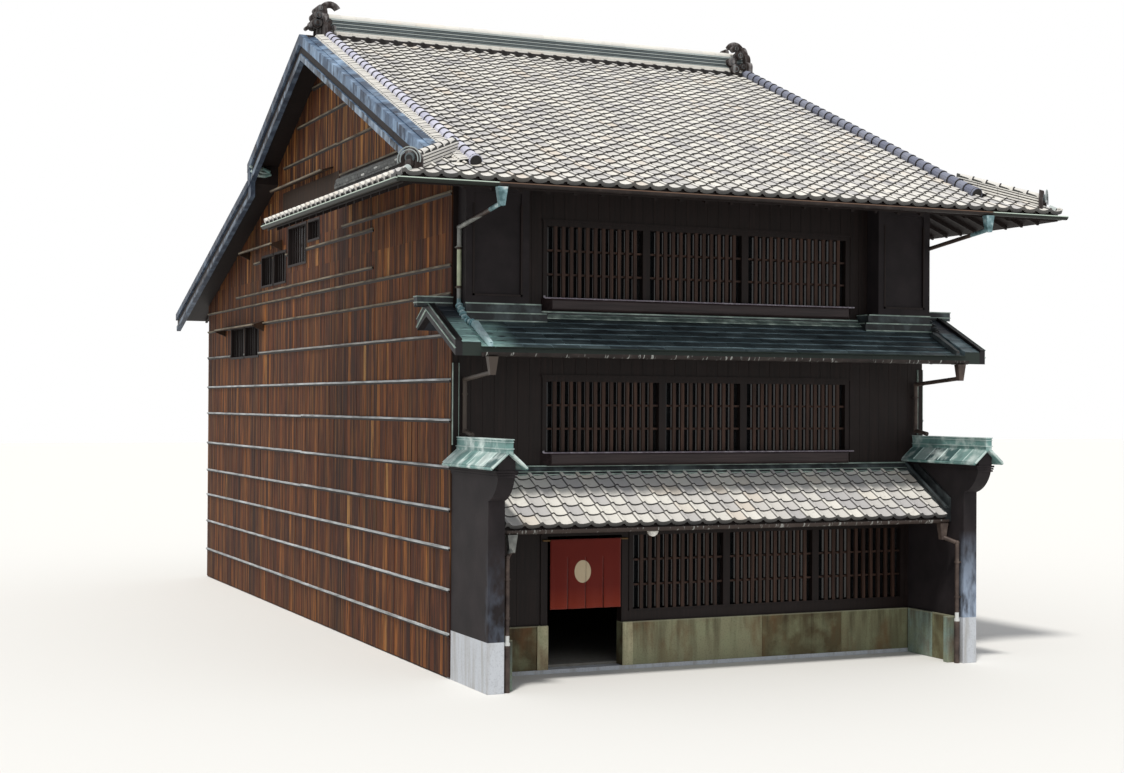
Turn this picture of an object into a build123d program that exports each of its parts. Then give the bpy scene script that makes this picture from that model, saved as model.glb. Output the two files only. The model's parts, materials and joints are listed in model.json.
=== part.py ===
from build123d import *
from math import sqrt
import os

# Machiya townhouse: a three-storey timber row house under a tiled hip-and-gable roof.
# Millimetres. X runs along the street front, to the right as seen from the street.
# Y runs from the street towards the back, Z is up. The origin is in the middle of the
# front wall's face, on the underside of the stone sill.

# Walls and floors
house_width = 8320
house_depth = 16400
wall = 150
sill_height = 60
sill_front = 60
slab_height = 100
ground_storey = 2750
second_storey = 2200
floor_thick = 200
ground_wall_over = 200
second_wall_over = 350

# Entrance, its frame and its cloth
door_middle = -2000
door_width = 1240
door_head = 2060
frame_width = 110
frame_proud = 20
noren_clear = 30
noren_top = 1990
noren_drop = 1030
noren_thick = 12
noren_gap = 40
rod_radius = 13
rod_overhang = 90
rod_bracket = 30

# Lattice windows of the front, in bays between posts
bar_width = 55
bar_depth = 40
bar_pitch = 140
bar_proud = 20
lath_height = 30
lath_depth = 20
post_width = 120
frame_thick = 18
frame_face = 70
ground_sill = 900
ground_head = 2050
ground_window_left = 200
ground_window_right = 420
ground_post_left = 460
ground_post_right = 2100
upper_window_clear = 150
second_sill_up = 580
second_window_height = 1070
second_post_left = -690
second_post_right = 753
third_sill_up = 710
third_window_height = 1090
third_post_left = -980
third_post_right = 770
glass_thick = 8
glass_back = 90

# Side and rear windows: near side, far side, sill, head
side_windows = ((9450, 10390, 6420, 7080), (10460, 11400, 6420, 7080), (7950, 9300, 6700, 7500),
                (7050, 7880, 7080, 7500), (11600, 12815, 5000, 5700), (12885, 14100, 5000, 5700))
rear_windows = ((-2900, -1300, 950, 2050), (1300, 2900, 950, 2050),
                (-2900, -1300, 3350, 4350), (1300, 2900, 3350, 4350))

# Hoods over the side windows and the closed panel in the gable: near side, far side, height
hoods = ((9750, 12450, 7300), (11200, 14700, 5750), (6200, 9800, 8330))
hood_reach = 260
hood_drop = 90
hood_thick = 30
hood_cheek = 40
hood_cheek_depth = 200
gable_panel_clear = 200
gable_panel_far = 9700
gable_panel_low = 7750
gable_panel_high = 8200
gable_panel_thick = 30

# Main roof: the eave's height is taken over the third floor
eave_over_floor = 2240
ridge_y = 6440
front_pitch = 0.428
front_overhang = 1760
rear_pitch = 0.485
rear_run = 3860
roof_thick = 150
verge_reach = 490
eave_reach = 880
side_roof_end = 5600
roof_gap = 5

# Lower roof at the back, a step under the rear slope
lower_lap = 200
lower_step = 356
lower_pitch = 0.338
rear_overhang = 900
riser_thick = 40

# Bargeboards in three bands, from the top: depth of the band, thickness
barge_bands = ((190, 110), (160, 65), (120, 90))
lower_barge_bands = ((150, 110), (140, 65), (110, 90))

# Ridge of stacked tiles and its end ornaments
stack_end = 130
stack_base_width = 430
stack_top_width = 250
stack_layers = 6
stack_layer_height = 52
cap_tile_radius = 85
ornament_thick = 110
ornament_width = 760
ornament_height = 560
ornament_rim = 45
ornament_recess = 25
boss_radius = 85
crest_radius = 62
crest_reach = 230

# Ridges down the two hips, with a small ornament at each end
corner_width = 230
corner_height = 150
corner_end = 200
corner_cap_radius = 65
corner_head = 250
corner_plate_width = 330
corner_plate_height = 300
corner_plate_thick = 70
corner_disc_radius = 60

# Stacks of flat tiles where the side roofs meet the walls
wall_stack_width = 170
wall_stack_height = 170
wall_stack_step = 50

# Copper pent roof between the second and third storeys
copper_over_floor = 510
copper_reach = 1180
copper_pitch = 0.51
copper_thick = 120
copper_end_reach = 390
copper_end_rise = 60
copper_back = 480
copper_ridge = 60
copper_back_pitch = 0.6
copper_verge_width = 90
copper_verge_rise = 40
ridge_box_reach = 560
ridge_box_height = 110
ridge_box_depth = 150

# Tiled pent roof over the ground storey
pent_clear = 120
pent_over_floor = 290
pent_reach = 1163
pent_pitch = 0.61
pent_thick = 110
kerb_height = 110
kerb_flashing = 260
kerb_flashing_thick = 40
kerb_flashing_back = 200
flashing_reach = 130
flashing_height = 90
flashing_lip = 40

# Wing walls with their stone bases, corbels and copper caps
wing_reach = 1490
wing_thick = 250
wing_base_top = 720
corbel_reach = 380
corbel_foot = 2700
corbel_lip = 90
cap_half = 260
cap_over_floor = 440
cap_rise = 230
cap_thick = 45
cap_reach = 1960
cap_box_width = 110
cap_box_height = 140

# Stone dado along the foot of the front, with returns along the wing walls
dado_top = 720
dado_thick = 45
dado_post = 180
dado_post_proud = 15
dado_return_reach = 1330
dado_end_depth = 100

# Rails under the lattice windows
rail_beyond = 92
rail_reach = 160
rail_height = 200
rail_round = 55
rail_taper = 120

# Plastered end panels of the third storey and their stepped bases
panel_end_clear = 80
panel_width = 1000
panel_reach = 330
panel_frame = 120
panel_recess = 30
base_height = 80
base_beyond = 280
base_reach = 380
base_step = 40

# Rainwater goods: gutters, hoppers and round pipes, the same on both sides
gutter_radius = 60
gutter_wall = 4
gutter_drop = 70
pipe_radius = 33
ground_pipe_radius = 43
pipe_bend = 5
hopper_width = 150
hopper_depth = 110
hopper_height = 260
hopper_foot = 80
hopper_hold = 220
clip_radius = 42
clip_height = 25
main_outlet = 40
main_pipe_in = 38
main_pipe_off = 160
main_arm_end = 1700
main_clips = (1400, 810)
roof_pipe_in = 142
roof_pipe_start = 560
copper_pipe_in = 170
copper_pipe_off = 80
copper_pipe_foot = 90
pent_outlet = 90
ground_pipe_in = 70
ground_pipe_y = 1420
ground_pipe_top = 1900
ground_pipe_foot = 700
ground_clips = (1580, 1030)

# Small lamp under the eave of the tiled pent roof
lamp_x = -1350
lamp_y = -1010
lamp_radius = 95

# Worked out from the values above
half = house_width / 2
inner_half = half - wall
back_inside = house_depth - wall
second_floor = ground_storey
third_floor = ground_storey + second_storey
ground_wall_top = second_floor + ground_wall_over
second_wall_top = third_floor + second_wall_over
door_left = door_middle - door_width / 2
door_right = door_middle + door_width / 2
noren_left = door_left + noren_clear
noren_right = door_right - noren_clear
verge_half = half + verge_reach
eave_half = verge_half + eave_reach
eave_top = third_floor + eave_over_floor
ridge_top = eave_top + front_pitch * (ridge_y + front_overhang)
rear_end = ridge_y + rear_run
lower_start = rear_end - lower_lap
lower_top = ridge_top - rear_pitch * (lower_start - ridge_y) - lower_step
rear_eave = house_depth + rear_overhang
stack_half = half + stack_end
copper_top = third_floor + copper_over_floor
copper_end = half + copper_end_reach
ridge_box_end = half + ridge_box_reach
wing_inner = half - wing_thick
wing_x = half - wing_thick / 2
pent_half = wing_inner - pent_clear
pent_top = second_floor + pent_over_floor
cap_eave = second_floor + cap_over_floor
cap_ridge = cap_eave + cap_rise
panel_foot = copper_top + base_height
panel_outer = half - panel_end_clear
panel_inner = panel_outer - panel_width
base_inner = panel_inner - base_beyond
upper_window_half = base_inner - upper_window_clear
gable_panel_near = side_roof_end + gable_panel_clear
rail_half = upper_window_half + rail_beyond

# Each window: sill, head, left side, right side, posts between the bays
ground_window = (ground_sill, ground_head, door_right + ground_window_left, half - ground_window_right,
                 (ground_post_left, ground_post_right))
second_sill = second_floor + second_sill_up
second_window = (second_sill, second_sill + second_window_height, -upper_window_half, upper_window_half,
                 (second_post_left, second_post_right))
third_sill = third_floor + third_sill_up
third_window = (third_sill, third_sill + third_window_height, -upper_window_half, upper_window_half,
                (third_post_left, third_post_right))


def front_top(y):
    """Height of the front slope at a distance y from the front wall's face."""
    return ridge_top - front_pitch * (ridge_y - y)


def rear_top(y):
    return ridge_top - rear_pitch * (y - ridge_y)


def lower_roof_top(y):
    return lower_top - lower_pitch * (y - lower_start)


def side_top(x):
    """Height of the side pent roofs at a distance x from the middle."""
    return eave_top + front_pitch * (eave_half - abs(x))


def copper_surface(y):
    return copper_top + copper_pitch * y


def pent_surface(y):
    return pent_top + pent_pitch * y


def prism_x(points, x_from, x_to):
    """Solid with an outline of (y, z) points, from x_from to x_to."""
    with BuildPart() as solid:
        with BuildSketch(Plane.YZ.offset(x_from)):
            with BuildLine():
                Polyline(*points, close=True)
            make_face()
        extrude(amount=x_to - x_from)
    return solid.part


def prism_y(points, y_from, y_to):
    """Solid with an outline of (x, z) points, from y_from to y_to."""
    with BuildPart() as solid:
        with BuildSketch(Plane.XZ.offset(-y_from)):
            with BuildLine():
                Polyline(*points, close=True)
            make_face()
        extrude(amount=y_from - y_to)
    return solid.part


def block(x_from, x_to, y_from, y_to, z_from, z_to):
    """Upright block between two opposite corners."""
    with BuildPart() as solid:
        with BuildSketch(Plane.XY.offset(z_from)):
            with Locations(((x_from + x_to) / 2, (y_from + y_to) / 2)):
                Rectangle(x_to - x_from, y_to - y_from)
        extrude(amount=z_to - z_from)
    return solid.part


def together(name, solids):
    """One sub-part of several solids that do not touch."""
    group = Compound(children=list(solids))
    group.label = name
    return group


def save(name, shape):
    shape.label = name
    export_step(shape, f"parts/{name}.step")


def bays(window):
    """The openings of a lattice window, as pairs of x, between its sides and its posts."""
    sill, head, left, right, posts = window
    edges = [left]
    for post in posts:
        edges += [post - post_width / 2, post + post_width / 2]
    edges.append(right)
    return [(edges[i], edges[i + 1]) for i in range(0, len(edges), 2)]


os.makedirs("parts", exist_ok=True)

# Stone sill under the front wall
with BuildPart() as sill:
    with BuildSketch():
        with Locations((0, wall / 2)):
            Rectangle(house_width, wall)
        with Locations((0, -sill_front / 2)):
            Rectangle(house_width - 2 * wing_thick, sill_front)
    extrude(amount=sill_height)
save("sill_stone", sill.part)

# Ground slab and the two upper floors, between the walls
save("ground_slab", block(-inner_half, inner_half, wall, back_inside, 0, slab_height))
for name, level in (("second_floor", second_floor), ("third_floor", third_floor)):
    save(name, block(-inner_half, inner_half, wall, back_inside, level - floor_thick, level))

# Front wall of the ground storey, split beside and over the entrance
save("front_wall_lintel", block(door_left, door_right, 0, wall, door_head, ground_wall_top))


def lattice_wall(x_from, x_to, z_from, z_to, window):
    """Piece of the front wall with the bays of its lattice window cut through."""
    with BuildPart() as piece:
        add(block(x_from, x_to, 0, wall, z_from, z_to))
        for left, right in bays(window):
            add(block(left, right, 0, wall, window[0], window[1]), mode=Mode.SUBTRACT)
    return piece.part


def without_post(piece, x_from, x_to):
    """The piece of wall with the room cut out for the stone post beside the entrance."""
    with BuildPart() as cut:
        add(piece)
        add(block(x_from, x_to, 0, wall, sill_height, dado_top), mode=Mode.SUBTRACT)
    return cut.part


save("front_wall_left", without_post(block(-half, door_left, 0, wall, sill_height, ground_wall_top),
                                     door_left - dado_post, door_left))
save("front_wall_right", without_post(
    lattice_wall(door_right, half, sill_height, ground_wall_top, ground_window), door_right, door_right + dado_post))
save("front_wall_second", lattice_wall(-half, half, ground_wall_top, second_wall_top, second_window))

with BuildPart() as front_third:
    add(prism_x([(0, second_wall_top), (wall, second_wall_top), (wall, front_top(wall) - roof_thick),
                 (0, front_top(0) - roof_thick)], -half, half))
    for left, right in bays(third_window):
        add(block(left, right, 0, wall, third_window[0], third_window[1]), mode=Mode.SUBTRACT)
save("front_wall_third", front_third.part)

# Side walls, up to the underside of the roofs
side_outline = [(wall, 0), (back_inside, 0), (back_inside, lower_roof_top(back_inside) - roof_thick),
                (lower_start, lower_roof_top(lower_start) - roof_thick),
                (lower_start, rear_top(lower_start) - roof_thick), (ridge_y, ridge_top - roof_thick),
                (wall, front_top(wall) - roof_thick)]
for name, inside, outside in (("left_wall", -inner_half, -half), ("right_wall", inner_half, half)):
    with BuildPart() as side_wall:
        add(prism_x(side_outline, min(inside, outside), max(inside, outside)))
        for near, far, sill_z, head_z in side_windows:
            add(block(min(inside, outside), max(inside, outside), near, far, sill_z, head_z), mode=Mode.SUBTRACT)
    save(name, side_wall.part)

# Rear wall, under the lower roof
with BuildPart() as rear_wall:
    add(prism_x([(back_inside, 0), (house_depth, 0), (house_depth, lower_roof_top(house_depth) - roof_thick),
                 (back_inside, lower_roof_top(back_inside) - roof_thick)], -half, half))
    for left, right, sill_z, head_z in rear_windows:
        add(block(left, right, back_inside, house_depth, sill_z, head_z), mode=Mode.SUBTRACT)
save("rear_wall", rear_wall.part)

# Main roof, front slope: it widens below the gables to the eave, along the hips
hip_run = eave_half - verge_half
with BuildPart() as roof_front:
    add(prism_x([(-front_overhang, eave_top), (ridge_y, ridge_top), (ridge_y, ridge_top - roof_thick),
                 (-front_overhang, eave_top - roof_thick)], -eave_half, eave_half))
    with BuildSketch():
        with BuildLine():
            Polyline((-eave_half, -front_overhang), (eave_half, -front_overhang),
                     (verge_half, -front_overhang + hip_run), (verge_half, ridge_y), (-verge_half, ridge_y),
                     (-verge_half, -front_overhang + hip_run), close=True)
        make_face()
    extrude(amount=ridge_top, mode=Mode.INTERSECT)
save("roof_front", roof_front.part)

# Main roof, rear slope
save("roof_rear", prism_x([(ridge_y, ridge_top), (rear_end, rear_top(rear_end)),
                           (rear_end, rear_top(rear_end) - roof_thick), (ridge_y, ridge_top - roof_thick)],
                          -verge_half, verge_half))

# Lower roof at the back, with the riser that closes the step under the main roof
with BuildPart() as roof_lower:
    add(prism_x([(lower_start, lower_roof_top(lower_start)), (rear_eave, lower_roof_top(rear_eave)),
                 (rear_eave, lower_roof_top(rear_eave) - roof_thick),
                 (lower_start, lower_roof_top(lower_start) - roof_thick)], -verge_half, verge_half))
    riser_back = lower_start + riser_thick
    add(prism_x([(lower_start, lower_roof_top(lower_start) - roof_thick / 2),
                 (riser_back, lower_roof_top(riser_back) - roof_thick / 2),
                 (riser_back, rear_top(riser_back) - roof_thick),
                 (lower_start, rear_top(lower_start) - roof_thick)], -verge_half, verge_half))
save("roof_rear_lower", roof_lower.part)

# Side pent roofs under the gables, mitred to the front slope
def side_roof(side):
    clear = roof_thick / front_pitch + roof_gap
    with BuildPart() as pent:
        add(prism_y([(side * half, side_top(half)), (side * eave_half, side_top(eave_half)),
                     (side * eave_half, side_top(eave_half) - roof_thick), (side * half, side_top(half) - roof_thick)],
                    -front_overhang, side_roof_end))
        with BuildSketch():
            with BuildLine():
                Polyline((side * eave_half, -front_overhang), (side * verge_half, -front_overhang + hip_run),
                         (side * verge_half, -front_overhang + hip_run + clear),
                         (side * half, -front_overhang + eave_half - half + clear),
                         (side * half, side_roof_end), (side * eave_half, side_roof_end), close=True)
            make_face()
        extrude(amount=ridge_top, mode=Mode.INTERSECT)
    return pent.part


save("side_roof_left", side_roof(-1))
save("side_roof_right", side_roof(1))

# Stacks of flat tiles along the walls, over the side pent roofs
junction = side_top(half)
save("wall_stacks", together("wall_stacks", [
    prism_y([(side * half, side_top(half)), (side * (half + wall_stack_width), side_top(half + wall_stack_width)),
             (side * (half + wall_stack_width), junction + wall_stack_step),
             (side * (half + wall_stack_width - wall_stack_step), junction + 2 * wall_stack_step),
             (side * (half + wall_stack_width - wall_stack_step), junction + wall_stack_height),
             (side * half, junction + wall_stack_height)],
            (junction + wall_stack_height + roof_thick - ridge_top) / front_pitch + ridge_y + roof_gap,
            side_roof_end)
    for side in (-1, 1)]))

# Bargeboards along both gables, in three bands: front, rear and lower rear run in one
barge_foot = side_top(verge_half)
barge_front = -front_overhang + hip_run + corner_width


def barge_band(side, upper, lower, lower_roof_upper, lower_roof_lower, thick):
    """One band of a bargeboard, between two depths under the roof's surface."""
    start = max(barge_front, (barge_foot + upper - ridge_top) / front_pitch + ridge_y)
    foot_end = max(start, (barge_foot + lower - ridge_top) / front_pitch + ridge_y)
    outline = [(start, front_top(start) - upper), (ridge_y, ridge_top - upper), (rear_end, rear_top(rear_end) - upper),
               (rear_end, lower_roof_top(rear_end) - lower_roof_upper),
               (rear_eave, lower_roof_top(rear_eave) - lower_roof_upper),
               (rear_eave, lower_roof_top(rear_eave) - lower_roof_lower),
               (lower_start, lower_roof_top(lower_start) - lower_roof_lower),
               (lower_start, rear_top(lower_start) - lower), (ridge_y, ridge_top - lower), (foot_end, barge_foot)]
    if upper == 0:
        outline.append((start, barge_foot))
    return prism_x(outline, *sorted((side * verge_half, side * (verge_half + thick))))


def bargeboard(side):
    with BuildPart() as board:
        upper, lower_upper = 0, 0
        for (depth, thick), (lower_depth, _) in zip(barge_bands, lower_barge_bands):
            add(barge_band(side, upper, upper + depth, lower_upper, lower_upper + lower_depth, thick))
            upper += depth
            lower_upper += lower_depth
    return board.part


save("bargeboards_left", bargeboard(-1))
save("bargeboards_right", bargeboard(1))

# Ridge: layers of flat tiles that step in, under a row of round cap tiles
with BuildPart() as ridge_stack:
    outline = [(ridge_y, ridge_top), (ridge_y - stack_base_width / 2, front_top(ridge_y - stack_base_width / 2))]
    outline_back = [(ridge_y + stack_base_width / 2, rear_top(ridge_y + stack_base_width / 2))]
    stack_foot = ridge_top
    for layer in range(stack_layers):
        width = stack_base_width + (stack_top_width - stack_base_width) * layer / (stack_layers - 1)
        low = stack_foot + layer * stack_layer_height
        if layer > 0:
            outline.append((ridge_y - width / 2, low))
            outline_back.append((ridge_y + width / 2, low))
        outline.append((ridge_y - width / 2, low + stack_layer_height))
        outline_back.append((ridge_y + width / 2, low + stack_layer_height))
    add(prism_x(outline + outline_back[::-1], -stack_half, stack_half))
    stack_top = stack_foot + stack_layers * stack_layer_height
    with BuildSketch(Plane.YZ.offset(-stack_half)):
        with Locations((ridge_y, stack_top)):
            Circle(cap_tile_radius)
    extrude(amount=2 * stack_half)
save("ridge_stack", ridge_stack.part)


def lobe(low, high, hand, depth):
    """Arc from a low point to a high one, which bulges up and out to one hand."""
    across, up = abs(high[0] - low[0]), high[1] - low[1]
    reach = depth / sqrt(across ** 2 + up ** 2)
    ThreePointArc(low, ((low[0] + high[0]) / 2 + hand * reach * up, (low[1] + high[1]) / 2 + reach * across), high)


def ornament_outline(plane, inset):
    """Scrolled outline of the ridge's end tile, on both slopes, drawn in by an inset."""
    w = ornament_width / 2 - inset
    h = ornament_height - inset
    shoulders = ((1.0, 0.1), (0.78, 0.36), (0.5, 0.68), (0.0, 1.0))
    with BuildSketch(plane) as outline:
        with BuildLine():
            Polyline((ridge_y - w, ridge_top + 0.1 * h), (ridge_y - w, front_top(ridge_y - w) + inset),
                     (ridge_y, ridge_top + inset), (ridge_y + w, rear_top(ridge_y + w) + inset),
                     (ridge_y + w, ridge_top + 0.1 * h))
            for hand in (-1, 1):
                for (u1, v1), (u2, v2) in zip(shoulders, shoulders[1:]):
                    lobe((ridge_y + hand * u1 * w, ridge_top + v1 * h),
                         (ridge_y + hand * u2 * w, ridge_top + v2 * h), hand, 0.1 * w)
        make_face()
    return outline.sketch


def ridge_ornament(side):
    """End tile of the ridge, with a recessed face, a boss and a crest curled over the ridge."""
    face = side * (stack_half + ornament_thick)
    recess = face - side * ornament_recess
    with BuildPart() as plate:
        extrude(ornament_outline(Plane.YZ.offset(side * stack_half), 0), amount=side * ornament_thick)
        extrude(ornament_outline(Plane.YZ.offset(recess), ornament_rim), amount=side * ornament_recess,
                mode=Mode.SUBTRACT)
        with BuildSketch(Plane.YZ.offset(recess)):
            with Locations((ridge_y, ridge_top + 0.42 * ornament_height)):
                Circle(boss_radius)
        extrude(amount=side * 2 * ornament_recess)
        top = ridge_top + 0.86 * ornament_height
        with BuildLine() as curl:
            ThreePointArc((side * (stack_half + ornament_thick / 2), ridge_y, top),
                          (side * (stack_half - 0.4 * crest_reach), ridge_y, top + 0.45 * crest_reach),
                          (side * (stack_half - crest_reach), ridge_y, top + 0.1 * crest_reach))
        with BuildSketch(Plane(origin=curl.line @ 0, z_dir=curl.line % 0)):
            Circle(crest_radius)
        sweep(path=curl.line)
    return plate.part


save("ridge_ornaments", together("ridge_ornaments", [ridge_ornament(-1), ridge_ornament(1)]))


def hip_plane(side):
    """Upright plane across a hip, at the low end of its ridge, and the way up the hip."""
    root = sqrt(2)
    x_out = eave_half - corner_end
    start = Vector(side * x_out, -front_overhang + corner_end, side_top(x_out))
    plane = Plane(origin=start, x_dir=Vector(-1 / root, -side / root, 0), z_dir=Vector(-side / root, 1 / root, 0))
    uphill = Vector(-side / root, 1 / root, front_pitch / root)
    return plane, uphill.normalized()


def corner_ridge(side):
    """Short ridge down the hip, from the main roof's verge to the eave corner."""
    plane, uphill = hip_plane(side)
    fall = front_pitch / sqrt(2)
    run = eave_half - corner_end - verge_half + corner_head
    w = corner_width / 2
    with BuildPart() as ridge:
        with BuildSketch(plane):
            with BuildLine():
                Polyline((0, 0), (w, -fall * w), (w, corner_height * 0.45), (0.75 * w, corner_height * 0.45),
                         (0.75 * w, corner_height), (-0.75 * w, corner_height), (-0.75 * w, corner_height * 0.45),
                         (-w, corner_height * 0.45), (-w, -fall * w), close=True)
            make_face()
            with Locations((0, corner_height)):
                Circle(corner_cap_radius)
        extrude(amount=run * sqrt(2 + front_pitch ** 2), dir=uphill)
        add(roof_front.part, mode=Mode.SUBTRACT)
    return ridge.part


def corner_ornament(side):
    """Rounded end tile of a hip's ridge, with the disc of the round tile under it."""
    plane, uphill = hip_plane(side)
    fall = front_pitch / sqrt(2)
    w = corner_plate_width / 2
    with BuildPart() as plate:
        with BuildSketch(plane):
            with BuildLine():
                Polyline((-w, 0.3 * corner_plate_height), (-w, -fall * w), (0, 0), (w, -fall * w),
                         (w, 0.3 * corner_plate_height))
                for hand in (-1, 1):
                    lobe((hand * w, 0.3 * corner_plate_height), (hand * 0.55 * w, 0.75 * corner_plate_height),
                         hand, 0.15 * w)
                lobe((-0.55 * w, 0.75 * corner_plate_height), (0.55 * w, 0.75 * corner_plate_height), 1, 0.4 * w)
            make_face()
        extrude(amount=corner_plate_thick, dir=-uphill)
        with BuildSketch(plane):
            with Locations((0, corner_disc_radius + 0.1 * corner_plate_height)):
                Circle(corner_disc_radius)
        extrude(amount=1.6 * corner_plate_thick, dir=-uphill)
    return plate.part


save("corner_ridges", together("corner_ridges", [corner_ridge(-1), corner_ridge(1)]))
save("corner_ornaments", together("corner_ornaments", [corner_ornament(-1), corner_ornament(1)]))

# Copper pent roof: one slope along the front, and at each end a small saddle past the wall
with BuildPart() as copper_roof:
    add(prism_x([(-copper_reach, copper_surface(-copper_reach)), (0, copper_top), (0, copper_top - copper_thick),
                 (-copper_reach, copper_surface(-copper_reach) - copper_thick)], -half, half))
    saddle_top = copper_surface(0) + copper_end_rise
    saddle = [(-copper_reach, copper_surface(-copper_reach) + copper_end_rise), (copper_ridge, saddle_top),
              (copper_back, saddle_top - copper_back_pitch * (copper_back - copper_ridge)),
              (copper_back, saddle_top - copper_back_pitch * (copper_back - copper_ridge) - copper_thick),
              (copper_ridge, saddle_top - copper_thick - copper_end_rise),
              (-copper_reach, copper_surface(-copper_reach) - copper_thick)]
    verge_top = saddle_top + copper_verge_rise
    front_foot = copper_surface(-copper_reach) + copper_end_rise
    back_foot = saddle_top - copper_back_pitch * (copper_back - copper_ridge)
    verge = [(-copper_reach, front_foot), (-copper_reach, front_foot + copper_verge_rise), (copper_ridge, verge_top),
             (copper_back, back_foot + copper_verge_rise), (copper_back, back_foot), (copper_ridge, saddle_top)]
    for side in (-1, 1):
        add(prism_x(saddle, *sorted((side * half, side * copper_end))))
        add(prism_x(verge, *sorted((side * (copper_end - copper_verge_width), side * copper_end))))
save("copper_roof", copper_roof.part)


saddle_pitch = copper_pitch * copper_reach / (copper_reach + copper_ridge)


def ridge_box(side):
    """Boxed ridge of a saddle, which runs a little past its verge."""
    low, high = sorted((side * half, side * ridge_box_end))
    front, back = copper_ridge - ridge_box_depth / 2, copper_ridge + ridge_box_depth / 2
    top = saddle_top + ridge_box_height
    with BuildPart() as box:
        add(prism_x([(front, saddle_top - saddle_pitch * ridge_box_depth / 2), (copper_ridge, saddle_top),
                     (back, saddle_top - copper_back_pitch * ridge_box_depth / 2), (back, top), (front, top)],
                    low, high))
        add(copper_roof.part, mode=Mode.SUBTRACT)
    return box.part


save("copper_ridge_boxes", together("copper_ridge_boxes", [ridge_box(-1), ridge_box(1)]))

# Tiled pent roof over the ground storey and the flashing along its head
save("tiled_pent_roof", prism_x([(-pent_reach, pent_surface(-pent_reach)), (0, pent_top),
                                 (0, pent_top - pent_thick),
                                 (-pent_reach, pent_surface(-pent_reach) - pent_thick)], -pent_half, pent_half))
save("pent_flashing", prism_x([(-flashing_reach, pent_surface(-flashing_reach)), (0, pent_top),
                               (0, pent_top + flashing_height), (-flashing_reach * 0.4, pent_top + flashing_height),
                               (-flashing_reach, pent_surface(-flashing_reach) + flashing_lip)], -pent_half, pent_half))


def pent_kerb(side):
    """Kerb between the end of the tiles and a wing wall, with a flashing up the wall."""
    eave = pent_surface(-pent_reach)
    flashing_top = pent_surface(-kerb_flashing_back) + kerb_flashing
    with BuildPart() as kerb:
        add(prism_x([(-pent_reach, eave - pent_thick), (-pent_reach, eave + kerb_height),
                     (0, pent_top + kerb_height), (0, pent_top - pent_thick)],
                    *sorted((side * pent_half, side * wing_inner))))
        add(prism_x([(-pent_reach, eave), (-pent_reach, eave + kerb_flashing),
                     (-kerb_flashing_back, flashing_top), (-kerb_flashing_back, flashing_top - kerb_flashing)],
                    *sorted((side * (wing_inner - kerb_flashing_thick), side * wing_inner))))
    return kerb.part


save("pent_kerbs", together("pent_kerbs", [pent_kerb(-1), pent_kerb(1)]))

# Wing walls at both ends of the front, peaked to carry their caps
cap_pitch = (cap_ridge - cap_eave) / cap_half


def cap_under(offset):
    return cap_ridge - cap_pitch * offset - cap_thick


def wing_wall(side):
    x = side * wing_x
    t = wing_thick / 2
    return prism_y([(x - t, wing_base_top), (x + t, wing_base_top), (x + t, cap_under(t)), (x, cap_under(0)),
                    (x - t, cap_under(t))], -wing_reach, 0)


def wing_cap(side):
    x = side * wing_x
    b = cap_box_width / 2
    box_foot = cap_ridge - cap_pitch * b
    return prism_y([(x - cap_half, cap_eave - cap_thick), (x, cap_under(0)), (x + cap_half, cap_eave - cap_thick),
                    (x + cap_half, cap_eave), (x + b, box_foot), (x + b, cap_ridge + cap_box_height),
                    (x - b, cap_ridge + cap_box_height), (x - b, box_foot), (x - cap_half, cap_eave)], -cap_reach, 0)


def wing_corbel(side):
    """Corbel under the front of a cap, curved outwards from the wall's face."""
    x = side * wing_x
    t = wing_thick / 2
    front = -wing_reach - corbel_reach
    lip = cap_under(t) - corbel_lip
    with BuildPart() as corbel:
        add(prism_y([(x - t, corbel_foot), (x + t, corbel_foot), (x + t, cap_under(t)), (x, cap_under(0)),
                     (x - t, cap_under(t))], front, -wing_reach))
        with BuildSketch(Plane.YZ.offset(x - t)):
            with BuildLine():
                RadiusArc((-wing_reach, corbel_foot), (front, lip), 1.3 * corbel_reach)
                Polyline((front, lip), (front, cap_ridge), (-wing_reach, cap_ridge), (-wing_reach, corbel_foot))
            make_face()
        extrude(amount=wing_thick, mode=Mode.INTERSECT)
    return corbel.part


save("wing_wall_left", wing_wall(-1))
save("wing_wall_right", wing_wall(1))
save("wing_bases", together("wing_bases", [
    block(side * wing_x - wing_thick / 2, side * wing_x + wing_thick / 2, -wing_reach, 0, 0, wing_base_top)
    for side in (-1, 1)]))
save("wing_corbels", together("wing_corbels", [wing_corbel(-1), wing_corbel(1)]))
save("wing_caps", together("wing_caps", [wing_cap(-1), wing_cap(1)]))

# Stone dado: slabs on the sill between the wing walls, a post on each side of the entrance that goes
# through the wall, and a return along the right wing wall
post_front = -dado_thick - dado_post_proud
with BuildPart() as dado_left:
    add(block(-wing_inner, door_left - dado_post, -dado_thick, 0, sill_height, dado_top))
    add(block(door_left - dado_post, door_left, post_front, wall, sill_height, dado_top))
with BuildPart() as dado_right:
    add(block(door_right + dado_post, wing_inner, -dado_thick, 0, sill_height, dado_top))
    add(block(door_right, door_right + dado_post, post_front, wall, sill_height, dado_top))


def dado_return(side):
    end_front = -dado_return_reach
    with BuildPart() as stone:
        add(block(*sorted((side * (wing_inner - dado_thick), side * wing_inner)), end_front, -sill_front,
                  0, dado_top))
        add(block(*sorted((side * (wing_inner - dado_post), side * wing_inner)), end_front,
                  end_front + dado_end_depth, 0, dado_top))
    return stone.part


save("dado", together("dado", [dado_left.part, dado_right.part, dado_return(-1), dado_return(1)]))


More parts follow.
